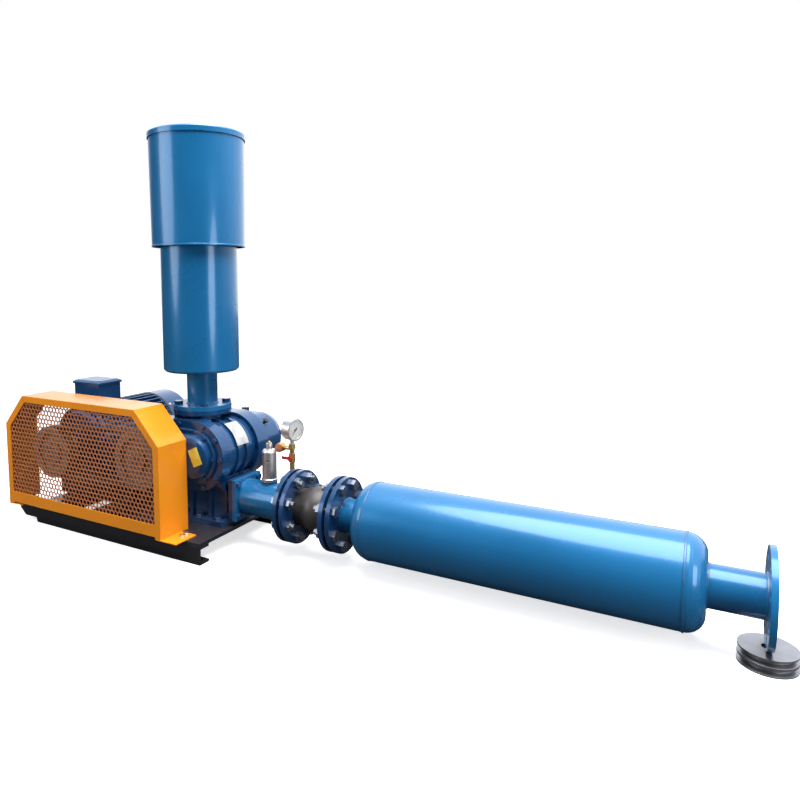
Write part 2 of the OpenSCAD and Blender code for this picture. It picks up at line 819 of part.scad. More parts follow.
module blower_casing() {
    foot_w = 2 * (rotor_cd / 2 + 68);
    foot_depth = 144;
    foot_t = 22;
    color(blue) difference() {
        union() {
            at_blower() along_y(-casing_half, 2 * casing_half) oval(rotor_cd, case_r);
            at_blower() for (y = [-casing_half, casing_half - 16]) along_y(y, 16) oval(rotor_cd, flange_r);
            at_blower() for (y = [-24, 14]) along_y(y, 10) oval(rotor_cd, case_r + 6);
            translate([0, 0, shaft_z]) cylinder(h = inlet_rise - 1, d = pipe_d + 24);
            translate([0, 0, inlet_top - 14]) cylinder(h = 14, d = inlet_flange_d);
            translate([-foot_w / 2, -foot_depth / 2, base_top + box_h]) cube([foot_w, foot_depth, foot_t]);
            translate([-60, -60, base_top + box_h]) cube([120, 120, 60]);
        }
        at_blower() for (s = [-1, 1]) translate([s * rotor_cd / 2, 0, 0])
            rod_y(-casing_half - eps, 2 * casing_half + 2 * eps, 2 * bore_r);
        translate([0, 0, shaft_z]) cylinder(h = inlet_rise + eps, d = port_d);
        translate([-45, -40, base_top + box_h - eps]) cube([90, 80, 70]);
        translate([-200, -casing_half + 16.5, base_top]) cube([400, 2 * casing_half - 33, box_h]);
        at_blower() for (p = end_bolt_places(), y = [-casing_half - eps, casing_half - 16])
            translate([p[0], 0, p[1]]) rod_y(y, 16 + eps, bolt_m8 + 1);
        inlet_holes(inlet_top - 15, 16);
    }
}

module inlet_holes(z, l) {
    for (a = [45 : 90 : 315]) rotate(a) translate([inlet_pcd / 2, 0, z]) cylinder(h = l, d = bolt_m16 - 1);
}

// End plate with pockets for the shaft bearings on its outer side
module end_plate(y, pocket_y) {
    at_blower() difference() {
        along_y(y, end_plate_t) oval(rotor_cd, flange_r);
        for (s = [-1, 1]) translate([s * rotor_cd / 2, 0, 0]) {
            rod_y(y - eps, end_plate_t + 2 * eps, shaft_hole_d);
            rod_y(pocket_y, bearing_w + eps, bearing_od);
        }
        for (p = end_bolt_places()) translate([p[0], 0, p[1]])
            rod_y(y - eps, end_plate_t + 2 * eps, bolt_m8 + 1);
    }
}

module drive_end_plate() {
    color(blue) difference() {
        end_plate(drive_plate_y, drive_plate_y - eps);
        at_blower() for (p = cover_bolt_places()) translate([p[0], 0, p[1]])
            rod_y(drive_plate_y - 1, 13, bolt_m6 + 1);
    }
}

module gear_end_plate() {
    color(blue) end_plate(gear_plate_y, gear_plate_y + end_plate_t - bearing_w);
}

module drive_end_cover() {
    y1 = drive_plate_y;
    y0 = drive_cover_y;
    r = drive_cover_r;
    color(blue) at_blower() difference() {
        union() {
            oval_turn(rotor_cd) polygon([
                [0, y0], [r - 18, y0], [r - 6, y0 + 4], [r - 1, y0 + 10], [r, y1 - cover_flange_t],
                [r + 12, y1 - cover_flange_t], [r + 12, y1], [0, y1]]);
            translate([drive_x, 0, 0]) turn_y() polygon([
                [0, y0 - 8], [34, y0 - 8], [37, y0 - 5], [45, y0 + 1], [0, y0 + 1]]);
        }
        along_y(y1 - 18, 18 + eps) oval(rotor_cd, r - 12);
        translate([drive_x, 0, 0]) rod_y(y0 - 9, drive_cover_l, shaft_hole_d);
        for (p = cover_bolt_places()) translate([p[0], 0, p[1]])
            rod_y(y1 - cover_flange_t - 1, cover_flange_t + 2, bolt_m6 + 1);
    }
}

module gear_case() {
    y0 = gear_case_y;
    y1 = gear_case_y + gear_case_l;
    r = gear_case_r;
    color(blue) at_blower() difference() {
        oval_turn(rotor_cd) polygon([
            [0, y0], [flange_r, y0], [flange_r, y0 + 14], [r, y0 + 14], [r - 1, y1 - 34],
            [r - 7, y1 - 14], [r - 22, y1 - 3], [r - 36, y1], [0, y1]]);
        along_y(y0 - eps, gear_case_l - 42) oval(rotor_cd, r - 8);
        along_y(y0 + gear_case_l - 44, 34) oval(rotor_cd, r - 30);
        for (p = end_bolt_places()) translate([p[0], 0, p[1]]) rod_y(y0 - eps, 15, bolt_m8 + 1);
        translate([driven_x - 8, y0 + 40, r - 12]) cylinder(h = 20, d = 14);
        translate([driven_x, y1 - 12, -20]) rotate([-90, 0, 0]) cylinder(h = 14, d = 22);
    }
}

// Ball bearing drawn as its two rings joined by the ball track
module ball_bearing(y, bore, od, w) {
    inner = bore / 2 + fit;
    outer = od / 2;
    turn_y() polygon([
        [inner, y], [inner + 5, y], [inner + 5, y + 3], [outer - 5, y + 3], [outer - 5, y], [outer, y],
        [outer, y + w], [outer - 5, y + w], [outer - 5, y + w - 3],
        [inner + 5, y + w - 3], [inner + 5, y + w], [inner, y + w]]);
}

module shaft_bearings() {
    color(bright_steel) at_blower()
        for (x = [drive_x, driven_x], y = [drive_plate_y, gear_case_y - bearing_w])
            translate([x, 0, 0]) ball_bearing(y, shaft_d, bearing_od, bearing_w);
}

module shaft_seals() {
    l = end_plate_t - bearing_w;
    color(rubber_black) at_blower() {
        for (x = [drive_x, driven_x], y = [drive_plate_y + bearing_w, gear_plate_y])
            translate([x, 0, 0]) ring_y(y, l, shaft_d / 2 + fit, shaft_hole_d / 2);
        translate([drive_x, 0, 0]) ring_y(drive_cover_y - 8, 14, shaft_d / 2 + fit, shaft_hole_d / 2);
    }
}

// Plain ring about the Y axis
module ring_y(y, l, inner, outer) {
    turn_y() translate([inner, y]) square([outer - inner, l]);
}

module casing_bolts() {
    color(bright_steel) at_blower() for (p = end_bolt_places()) translate([p[0], 0, p[1]]) {
        translate([0, drive_plate_y, 0]) rotate([90, 0, 0]) hex_bolt(bolt_m8, end_plate_t + 12);
        translate([0, gear_case_y + 14, 0]) rotate([-90, 0, 0]) hex_bolt(bolt_m8, end_plate_t + 26);
    }
    color(bright_steel) at_blower() for (p = cover_bolt_places())
        translate([p[0], drive_plate_y - cover_flange_t, p[1]]) rotate([90, 0, 0])
            hex_bolt(bolt_m6, cover_flange_t + 10);
}

module oil_sight_glass() {
    y1 = gear_case_y + gear_case_l;
    color(brass) translate([driven_x, y1 - 12, shaft_z - 20]) rotate([-90, 0, 0]) {
        cylinder(h = 14, d = 22);
        translate([0, 0, 12]) cylinder(h = 6, d = 28, $fn = 6);
    }
}

module breather_plug() {
    color(rubber_black) translate([driven_x - 8, gear_case_y + 40, shaft_z + gear_case_r - 10]) {
        cylinder(h = 20, d = 14);
        translate([0, 0, 18]) cylinder(h = 8, d1 = 20, d2 = 24);
        translate([0, 0, 26 - eps]) cylinder(h = 6, d = 24);
    }
}

// Rotors

// Three-lobe rotor about the Y axis with the bore for its shaft
module rotor_body() {
    along_y(-rotor_len / 2, rotor_len) difference() {
        polygon(rotor_outline());
        circle(d = shaft_d);
    }
}

module timing_gear() {
    y = gear_case_y + 8;
    along_y(y, gear_w) difference() {
        polygon(gear_outline(gear_teeth, rotor_cd / gear_teeth, 0.5));
        circle(d = shaft_d);
        for (i = [0 : 5]) rotate(i * 60) translate([34, 0]) circle(d = 14);
    }
}

module drive_shaft() {
    y1 = gear_case_y + gear_w + 20;
    color(bright_steel) translate([drive_x, 0, shaft_z]) rod_y(pulley_y, y1 - pulley_y, shaft_d);
}

module driven_shaft() {
    y0 = drive_plate_y - 6;
    y1 = gear_case_y + gear_w + 20;
    color(bright_steel) translate([driven_x, 0, shaft_z]) rod_y(y0, y1 - y0, shaft_d);
}

module drive_rotor() {
    color(cast_grey) translate([drive_x, 0, shaft_z]) rotor_body();
}

module driven_rotor() {
    color(cast_grey) translate([driven_x, 0, shaft_z]) rotor_body();
}

module drive_gear() {
    color(bright_steel) translate([drive_x, 0, shaft_z]) timing_gear();
}

module driven_gear() {
    color(bright_steel) translate([driven_x, 0, shaft_z]) timing_gear();
}

// Inlet silencer

module inlet_body() {
    r = inlet_d / 2;
    neck_r = pipe_d / 2;
    z0 = inlet_top;
    z1 = inlet_z;
    z2 = inlet_z + inlet_l;
    color(blue) difference() {
        rotate_extrude() polygon([
            [neck_r - pipe_wall, z0], [inlet_flange_d / 2, z0], [inlet_flange_d / 2, z0 + inlet_flange_t],
            [neck_r, z0 + inlet_flange_t], [neck_r, z1], [r - 6, z1], [r, z1 + 6], [r, z2],
            [r - inlet_wall, z2], [r - inlet_wall, z1 + 7], [r - 7, z1 + inlet_wall],
            [neck_r - pipe_wall, z1 + inlet_wall]]);
        inlet_holes(z0 - 1, inlet_flange_t + 2);
    }
}

// Pleated filter element standing on the silencer body's shelf
module inlet_filter() {
    pleats = 30;
    r1 = inlet_d / 2 - inlet_wall - 8;
    color([0.85, 0.82, 0.72]) translate([0, 0, inlet_z + inlet_wall]) {
        linear_extrude(inlet_l - 30) difference() {
            polygon([for (i = [0 : 2 * pleats - 1]) let (a = i * 180 / pleats, r = r1 - (i % 2) * 12)
                [r * cos(a), r * sin(a)]]);
            circle(r1 - 26);
        }
        translate([0, 0, inlet_l - 30 - eps]) cylinder(h = 6, r = r1 + 1.5);
    }
}

module inlet_hood() {
    r0 = hood_d / 2;
    r1 = hood_top_d / 2;
    z0 = hood_z;
    z1 = hood_z + hood_l;
    color(blue) {
        rotate_extrude() polygon([
            [r0 - inlet_wall - 1, z0], [r0 + 1, z0], [r0 + 1, z0 + 4], [r0, z0 + 5], [r1, z1],
            [r1 - inlet_wall, z1], [r0 - inlet_wall, z0 + 5]]);
        for (a = [45 : 90 : 315]) rotate(a) translate([inlet_d / 2, -10, hood_z + 12])
            cube([(hood_d - inlet_d) / 2 - inlet_wall + 1.2, 20, 4]);
    }
}

module hood_lid() {
    r = hood_top_d / 2 + lid_rim;
    z = hood_z + hood_l;
    color(blue) rotate_extrude() polygon([
        [0, z], [r - 1, z], [r - 1, z - lid_t + 2], [r, z - lid_t + 2], [r, z + 4], [r - 3, z + 7],
        [0, z + 10]]);
}

module inlet_bolts() {
    color(bright_steel) for (a = [45 : 90 : 315]) rotate(a)
        translate([inlet_pcd / 2, 0, inlet_top + inlet_flange_t]) hex_bolt(14, 30, nut = 26);
}

// Discharge line

module pipe_flange(x) {
    rod_x(x, flange_t, flange_d);
}

module flange_holes(x, l, d = joint_hole_d) {
    round_line(flange_bolts_n, flange_pcd, x) cylinder(h = l, d = d);
}

module discharge_spool() {
    l = joint_x - square_x;
    color(blue) difference() {
        union() {
            translate([square_x, -square_side / 2, pipe_z - square_side / 2])
                cube([13, square_side, square_side]);
            translate([0, 0, pipe_z]) {
                rod_x(square_x + 12, l - 13, spool_d);
                pipe_flange(joint_x - flange_t);
                rod_x(joint_x - flange_t - 14, 15, spool_d + 8);
            }
            translate([relief_x, 0, pipe_z]) cylinder(h = spool_d / 2 + 6, d = 44);
            translate([gauge_x, gauge_y, pipe_z]) cylinder(h = spool_d / 2 - 3, d = 24);
        }
        translate([0, 0, pipe_z]) rod_x(square_x - 1, l + 2, port_d);
        translate([relief_x, 0, pipe_z]) cylinder(h = spool_d / 2 + 7, d = 26);
        translate([gauge_x, gauge_y, pipe_z + 15]) cylinder(h = spool_d / 2, d = 8);
        square_holes(square_x - 1, 15);
        flange_holes(joint_x - flange_t - 1, flange_t + 2);
    }
}

// Bolts that hold the discharge box to the spool and to the plate under it
module box_bolts() {
    grip = 15 + plate_t;
    color(bright_steel) {
        for (y = [-square_bolt, square_bolt], z = [-square_bolt, square_bolt])
            translate([square_x + 13, y, pipe_z + z]) rotate([0, 90, 0]) hex_bolt(bolt_m10, 36, nut = 26);
        for (p = box_bolt_places()) translate([p[0], p[1], base_top + 15])
            hex_bolt(bolt_m10, grip + 10, nut = grip);
    }
}

// Rubber expansion joint with one arch and a sealing bead at each end
module rubber_joint() {
    bead_r = flange_pcd / 2 - joint_hole_d / 2 - 2;
    neck_r = 51;
    arch = (rubber_d / 2 - neck_r);
    mid = rubber_l / 2;
    steps = 16;
    from = bead_t + flange_t;
    outer = [for (i = [0 : steps]) let (t = i / steps)
        [neck_r + arch * pow(sin(180 * t), 2), from + (rubber_l - 2 * from) * t]];
    color(rubber_black) translate([joint_x, 0, pipe_z]) turn_x() polygon(concat(
        [[port_d / 2, 0], [bead_r, 0], [bead_r, bead_t], [neck_r, bead_t]],
        outer,
        [[neck_r, rubber_l - bead_t], [bead_r, rubber_l - bead_t],
         [bead_r, rubber_l], [port_d / 2, rubber_l]],
        [[port_d / 2, mid + 26], [port_d / 2 + 8, mid], [port_d / 2, mid - 26]]));
}

// Loose backing flanges of the rubber joint
module joint_flanges() {
    color(dark_blue) for (x = [joint_x + bead_t, joint_end - bead_t - flange_t]) difference() {
        translate([0, 0, pipe_z]) pipe_flange(x);
        translate([0, 0, pipe_z]) rod_x(x - 1, flange_t + 2, 103);
        flange_holes(x - 1, flange_t + 2);
    }
}

module flange_bolts() {
    grip = 2 * flange_t + bead_t;
    color(bright_steel) {
        round_line(flange_bolts_n, flange_pcd, joint_x - flange_t) mirror([0, 0, 1])
            hex_bolt(bolt_m16, grip + 22, nut = grip);
        round_line(flange_bolts_n, flange_pcd, joint_end + flange_t)
            hex_bolt(bolt_m16, grip + 22, nut = grip);
    }
}

// Shell with rounded ends, stub pipes and end flange
module outlet_silencer() {
    r = outlet_r;
    n = 8;
    stub_r = pipe_d / 2;
    in_r = stub_r - pipe_wall;
    color(blue) translate([0, 0, pipe_z]) difference() {
        turn_x() polygon(concat(
            [[in_r, joint_end], [flange_d / 2, joint_end], [flange_d / 2, joint_end + flange_t],
             [stub_r, joint_end + flange_t]],
            [[stub_r, head_left], [r - head_l, head_left]],
            [for (i = [1 : n]) let (a = i * 90 / n)
                [r - head_l + head_l * sin(a), shell_left - head_l * cos(a)]],
            [for (i = [0 : n - 1]) let (a = i * 90 / n)
                [r - head_l + head_l * cos(a), shell_right + head_l * sin(a)]],
            [[r - head_l, head_right], [stub_r, head_right], [stub_r, end_x - flange_t],
             [flange_d / 2, end_x - flange_t], [flange_d / 2, end_x], [in_r, end_x]],
            [[in_r, head_right - outlet_wall], [r - head_l, head_right - outlet_wall]],
            [for (i = [1 : n]) let (a = i * 90 / n)
                [r - head_l + (head_l - outlet_wall) * sin(a),
                 shell_right + (head_l - outlet_wall) * cos(a)]],
            [for (i = [0 : n - 1]) let (a = i * 90 / n)
                [r - head_l + (head_l - outlet_wall) * cos(a),
                 shell_left - (head_l - outlet_wall) * sin(a)]],
            [[r - head_l, head_left + outlet_wall], [in_r, head_left + outlet_wall]]));
        translate([0, 0, -pipe_z]) {
            flange_holes(joint_end - 1, flange_t + 2);
            flange_holes(end_x - flange_t - 1, flange_t + 2, flange_hole_d);
        }
    }
}

// Perforated tube and its packing inside the outlet silencer
module outlet_core() {
    color(cast_grey) translate([0, 0, pipe_z]) {
        turn_x() translate([port_d / 2 + 1, head_left + outlet_wall])
            square([2, head_right - head_left - 2 * outlet_wall]);
        turn_x() translate([port_d / 2 + 3, shell_left]) square([outlet_r - outlet_wall - port_d / 2 - 3,
            shell_right - shell_left]);
    }
}

module prop_pulley() {
    r = prop_d / 2;
    color(cast_grey) translate([end_x - flange_t / 2, 0, 0]) difference() {
        rotate_extrude() polygon([
            [12, 0], [r, 0], [r, 3], [r - 10, 6], [r - 10, 12], [r, 15.5], [r, prop_h - 15.5],
            [r - 10, prop_h - 12], [r - 10, prop_h - 6], [r, prop_h - 3], [r, prop_h], [12, prop_h]]);
        translate([-3, 0, -eps]) cube([6, 16, prop_h + 2 * eps]);
    }
}

// Relief valve and gauge

module relief_body() {
    color(bright_steel) translate([relief_x, 0, relief_z]) difference() {
        rotate_extrude() polygon([
            [11, -12], [13, -12], [13, 0], [23, 0], [23, 7], [20.5, 9], [20.5, 84], [17, 90], [9, 91],
            [9, 100], [8, 108], [5, 108], [5, 82], [17, 82], [17, 12], [11, 8]]);
        for (a = [20 : 90 : 290]) rotate(a) translate([0, 0, 60]) rotate([0, 90, 0]) cylinder(h = 30, d = 6);
    }
}

// Valve disc and its stem, which lift against the spring
module relief_disc() {
    color(brass) translate([relief_x, 0, relief_z]) rotate_extrude() polygon([
        [0, 12.3], [15, 12.3], [15, 17], [8, 17], [6, 19], [4.5, 22], [4.5, 112], [3, 114], [0, 114]]);
}

// Coil spring between the valve disc and the cap, swept round its helix
module relief_spring() {
    turns = 6;
    per_turn = 14;
    sides = 6;
    wire = 1.3;
    coil = 11;
    low = relief_z + 17 + rest_gap + wire;
    high = relief_z + 82 - rest_gap - wire;
    rings = turns * per_turn;
    points = [for (i = [0 : rings], j = [0 : sides - 1])
        let (a = i * 360 / per_turn, b = j * 360 / sides, r = coil + wire * cos(b))
        [relief_x + r * cos(a), r * sin(a), low + (high - low) * i / rings + wire * sin(b)]];
    color(bright_steel) polyhedron(points, concat(
        [[for (j = [0 : sides - 1]) j]],
        [for (i = [0 : rings - 1], j = [0 : sides - 1]) let (k = (j + 1) % sides)
            [i * sides + j, (i + 1) * sides + j, (i + 1) * sides + k, i * sides + k]],
        [[for (j = [sides - 1 : -1 : 0]) rings * sides + j]]));
}

module at_gauge() {
    translate([gauge_x, gauge_y, gauge_z]) rotate([0, 0, gauge_turn]) children();
}

module gauge_case() {
    r = gauge_r;
    color(bright_steel) at_gauge() difference() {
        union() {
            turn_y() polygon([
                [0, -14], [r - 4, -14], [r - 4, -17], [r, -17], [r, -10], [r - 1, -9], [r - 1, 14],
                [r - 5, 16], [0, 16]]);
            translate([0, 0, -r - 10]) cylinder(h = 14, d = 12);
        }
        rod_y(-15, 3, 2 * r - 12);
    }
}

module gauge_needle() {
    color(rubber_black) at_gauge() translate([0, -15.2, 0]) rotate([0, -45, 0]) {
        rod_y(-1, 3.9, 5);
        along_y(-0.8, 0.8) polygon([[-21, 0], [-3, 1.4], [8, 1.8], [8, -1.8], [-3, -1.4]]);
    }
}

// Brass stop cock with its tee, between the spool and the gauge
module gauge_cock() {
    top = gauge_z - gauge_r - 10;
    bottom = pipe_z + spool_d / 2 - 3;
    tee_z = cock_z + 26;
    color(brass) translate([gauge_x, gauge_y, 0]) {
        translate([0, 0, bottom]) cylinder(h = top - bottom, d = 14);
        translate([0, 0, cock_z - 12]) cylinder(h = 24, d = cock_d, $fn = 6);
        translate([0, 0, top - 14]) cylinder(h = 14, d = 22, $fn = 6);
        translate([0, 0, tee_z]) rod_x(-34, 34, 11);
        translate([-38, 0, tee_z]) rod_y(-11, 18, 26);
    }
}

module cock_handle() {
    color(signal_red) translate([gauge_x, gauge_y - cock_d / 2 * sin(60) - rest_gap, cock_z]) {
        rod_y(-5, 5, 14);
        translate([-26, -5, -4]) cube([26, 4, 8]);
    }
}

front_rail();
rear_rail();
cross_members();
blower_plate();
motor_slide_rails();
belt_guard();
guard_mesh();
guard_bolts();
motor_frame();
motor_end_shields();
motor_bearings();
fan_cover();
terminal_box();
terminal_lid();
cable_gland();
motor_stator();
motor_feet_bolts();
motor_shaft();
motor_rotor();
cooling_fan();
motor_pulley();
v_belts();
discharge_box();
blower_casing();
drive_end_plate();
drive_end_cover();
gear_end_plate();
gear_case();
shaft_bearings();
shaft_seals();
casing_bolts();
oil_sight_glass();
breather_plug();
drive_shaft();
drive_rotor();
drive_gear();
blower_pulley();
driven_shaft();
driven_rotor();
driven_gear();
inlet_body();
inlet_filter();
inlet_hood();
hood_lid();
inlet_bolts();
discharge_spool();
box_bolts();
rubber_joint();
joint_flanges();
flange_bolts();
outlet_silencer();
outlet_core();
prop_pulley();
relief_body();
relief_disc();
relief_spring();
gauge_case();
gauge_needle();
gauge_cock();
cock_handle();
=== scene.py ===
"""Finishes, small parts and studio for the belt-driven blower set.

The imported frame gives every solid. This file paints them, adds the fine grille, the dial,
the weld beads, the screws, the caps, the bare plates and the round-wire spring, and sets
the camera and the studio.
"""

import math

import bmesh
import bpy
from bpy.props import FloatProperty, FloatVectorProperty, IntProperty, PointerProperty
from mathutils import Matrix, Vector


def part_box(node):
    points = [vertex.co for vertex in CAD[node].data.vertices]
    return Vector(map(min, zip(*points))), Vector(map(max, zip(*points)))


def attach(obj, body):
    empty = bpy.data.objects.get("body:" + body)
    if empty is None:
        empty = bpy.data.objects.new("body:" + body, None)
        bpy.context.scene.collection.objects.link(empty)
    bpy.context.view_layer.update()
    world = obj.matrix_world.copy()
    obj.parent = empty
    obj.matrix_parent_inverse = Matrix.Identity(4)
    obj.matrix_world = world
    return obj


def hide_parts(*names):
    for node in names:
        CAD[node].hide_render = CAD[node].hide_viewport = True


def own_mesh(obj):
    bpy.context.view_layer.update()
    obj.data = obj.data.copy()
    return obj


bl_info = {
    "name": "Blower Set Finisher",
    "version": (1, 0, 0),
    "blender": (4, 5, 0),
    "location": "View3D > Sidebar > Blower",
    "description": "Paints the blower set and adds its grille, dial, welds, screws, plates and studio",
    "category": "Object",
}

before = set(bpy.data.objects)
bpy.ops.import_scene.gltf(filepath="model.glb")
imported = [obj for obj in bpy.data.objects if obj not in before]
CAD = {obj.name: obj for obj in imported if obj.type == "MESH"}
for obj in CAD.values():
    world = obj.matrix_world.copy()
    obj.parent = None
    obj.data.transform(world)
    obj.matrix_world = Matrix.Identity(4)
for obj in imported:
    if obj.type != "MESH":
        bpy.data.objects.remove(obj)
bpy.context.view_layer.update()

STATIC = "frame_and_casing"

PIPE_HEIGHT = 0.135
PIPE_RADIUS = 0.0445
SHELL_RADIUS = 0.1
SHELL_SEAMS = (0.578, 1.284)
STUB_SEAMS = (0.538, 1.324)
FLANGE_SEAMS = (0.492, 1.426)
NECK_SEAMS = (0.3956, 0.494)
DRIVEN_CENTRE = Vector((0.058, 0.0, 0.26163))
MOTOR_CENTRE = Vector((-0.420, 0.0, 0.240))
GAUGE_CENTRE = Vector((0.297, 0.032, 0.339))
GAUGE_TURN = math.radians(78)
RELIEF_X = 0.241
ALONG_X = Matrix.Rotation(math.radians(90), 4, "Y")
ALONG_Y = Matrix.Rotation(math.radians(-90), 4, "X")
TOWARDS_FRONT = Matrix.Rotation(math.radians(90), 4, "X")


# Settings

class BLOWER_PG_paint(bpy.types.PropertyGroup):
    silencer_blue: FloatVectorProperty(
        name="Silencer blue", description="Paint of the silencers and the discharge pipe",
        subtype="COLOR", size=3, min=0, max=1, default=(0.009, 0.124, 0.290))
    machine_blue: FloatVectorProperty(
        name="Machine blue", description="Paint of the blower and the motor",
        subtype="COLOR", size=3, min=0, max=1, default=(0.004, 0.046, 0.135))
    flange_blue: FloatVectorProperty(
        name="Flange blue", description="Paint of the loose flanges and the discharge box",
        subtype="COLOR", size=3, min=0, max=1, default=(0.008, 0.040, 0.118))
    guard_orange: FloatVectorProperty(
        name="Guard orange", description="Paint of the belt guard",
        subtype="COLOR", size=3, min=0, max=1, default=(0.860, 0.280, 0.012))
    base_black: FloatVectorProperty(
        name="Base black", description="Paint of the base frame",
        subtype="COLOR", size=3, min=0, max=1, default=(0.006, 0.006, 0.007))


class BLOWER_PG_trim(bpy.types.PropertyGroup):
    grille_pitch: FloatProperty(
        name="Grille pitch", description="Distance between the holes of the guard's grille",
        unit="LENGTH", subtype="DISTANCE", min=0.008, max=0.03, default=0.015)
    grille_bridge: FloatProperty(
        name="Grille bridge", description="Metal left between two holes of the grille",
        unit="LENGTH", subtype="DISTANCE", min=0.001, max=0.01, default=0.0036)
    grille_sheet: FloatProperty(
        name="Grille sheet", description="Thickness of the grille's sheet",
        unit="LENGTH", subtype="DISTANCE", min=0.0005, max=0.003, default=0.0018)
    weld_width: FloatProperty(
        name="Weld width", description="Width of a weld bead",
        unit="LENGTH", subtype="DISTANCE", min=0.001, max=0.01, default=0.0052)
    dial_marks: IntProperty(
        name="Dial marks", description="Marks round the gauge's dial", min=5, max=61, default=31)


class BLOWER_PG_studio(bpy.types.PropertyGroup):
    key_power: FloatProperty(
        name="Key light", description="Power of the light over the guard's side",
        unit="POWER", min=0, max=1000, default=34)
    top_power: FloatProperty(
        name="Top light", description="Power of the light above the set",
        unit="POWER", min=0, max=1000, default=190)
    lens: FloatProperty(
        name="Lens", description="Focal length of the camera in millimetres",
        min=10, max=200, default=29.93)


# Material nodes

def shader(name):
    """A new material with its tree and its Principled shader."""
    material = bpy.data.materials.new(name)
    material.use_nodes = True
    tree = material.node_tree
    return material, tree, tree.nodes["Principled BSDF"]


def object_space(tree, scale=(1, 1, 1)):
    """Object coordinates through a Mapping node."""
    coords = tree.nodes.new("ShaderNodeTexCoord")
    mapping = tree.nodes.new("ShaderNodeMapping")
    mapping.inputs["Scale"].default_value = scale
    tree.links.new(coords.outputs["Object"], mapping.inputs["Vector"])
    return mapping.outputs["Vector"]


def noise(tree, vector, scale, detail=3, rough=0.5, distortion=0):
    """Fractal noise over a vector."""
    node = tree.nodes.new("ShaderNodeTexNoise")
    node.inputs["Scale"].default_value = scale
    node.inputs["Detail"].default_value = detail
    node.inputs["Roughness"].default_value = rough
    node.inputs["Distortion"].default_value = distortion
    tree.links.new(vector, node.inputs["Vector"])
    return node.outputs["Fac"]


def ramp(tree, source, low, high, start=(0, 0, 0, 1), end=(1, 1, 1, 1)):
    """A Color Ramp between two places."""
    node = tree.nodes.new("ShaderNodeValToRGB")
    first, last = node.color_ramp.elements
    first.position, last.position = low, high
    first.color, last.color = start, end
    tree.links.new(source, node.inputs["Fac"])
    return node.outputs["Color"]


def mix(tree, factor, a, b):
    """Mixes two colours, each a socket or a plain colour."""
    node = tree.nodes.new("ShaderNodeMix")
    node.data_type = "RGBA"
    for socket, value in ((node.inputs[0], factor), (node.inputs[6], a), (node.inputs[7], b)):
        if isinstance(value, bpy.types.NodeSocket):
            tree.links.new(value, socket)
        else:
            socket.default_value = value
    return node.outputs[2]


def maths(tree, operation, a, b=0.0, clamp=False):
    """A Math node on two values, each a socket or a number."""
    node = tree.nodes.new("ShaderNodeMath")
    node.operation = operation
    node.use_clamp = clamp
    for socket, value in zip(node.inputs, (a, b)):
        if isinstance(value, bpy.types.NodeSocket):
            tree.links.new(value, socket)
        else:
            socket.default_value = value
    return node.outputs["Value"]


def spread(tree, source, low, high):
    """Maps 0 to 1 onto low to high."""
    node = tree.nodes.new("ShaderNodeMapRange")
    node.inputs["To Min"].default_value = low
    node.inputs["To Max"].default_value = high
    tree.links.new(source, node.inputs["Value"])
    return node.outputs["Result"]


def relief(tree, bsdf, height, strength, distance, edge=0.0):
    """Bump from a height, over rounded edges where edge is their radius."""
    bump = tree.nodes.new("ShaderNodeBump")
    bump.inputs["Strength"].default_value = strength
    bump.inputs["Distance"].default_value = distance
    tree.links.new(height, bump.inputs["Height"])
    if edge:
        rounded = tree.nodes.new("ShaderNodeBevel")
        rounded.samples = 6
        rounded.inputs["Radius"].default_value = edge
        tree.links.new(rounded.outputs["Normal"], bump.inputs["Normal"])
    tree.links.new(bump.outputs["Normal"], bsdf.inputs["Normal"])


def edge_mask(tree, radius):
    """1 on sharp edges and 0 on flats, from the rounded normal against the true one."""
    rounded = tree.nodes.new("ShaderNodeBevel")
    rounded.samples = 6
    rounded.inputs["Radius"].default_value = radius
    geometry = tree.nodes.new("ShaderNodeNewGeometry")
    dot = tree.nodes.new("ShaderNodeVectorMath")
    dot.operation = "DOT_PRODUCT"
    tree.links.new(rounded.outputs["Normal"], dot.inputs[0])
    tree.links.new(geometry.outputs["Normal"], dot.inputs[1])
    return maths(tree, "SUBTRACT", 1.0, dot.outputs["Value"], clamp=True)


def shade(colour, k):
    """A colour made darker or lighter by a factor, with full alpha."""
    return (colour[0] * k, colour[1] * k, colour[2] * k, 1)


def near_joint(tree):
    """1 on the pipe flanges beside the rubber joint and 0 elsewhere."""
    low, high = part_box("joint_flanges")
    reach = 0.034
    clear_radius = 0.046
    split = tree.nodes.new("ShaderNodeSeparateXYZ")
    tree.links.new(object_space(tree), split.inputs["Vector"])
    after = maths(tree, "GREATER_THAN", split.outputs["X"], low[0] - reach)
    before = maths(tree, "LESS_THAN", split.outputs["X"], high[0] + reach)
    height = maths(tree, "SUBTRACT", split.outputs["Z"], PIPE_HEIGHT)
    across = maths(tree, "ADD", maths(tree, "MULTIPLY", split.outputs["Y"], split.outputs["Y"]),
                   maths(tree, "MULTIPLY", height, height))
    outside = maths(tree, "GREATER_THAN", across, clear_radius * clear_radius)
    return maths(tree, "MULTIPLY", maths(tree, "MULTIPLY", after, before), outside)


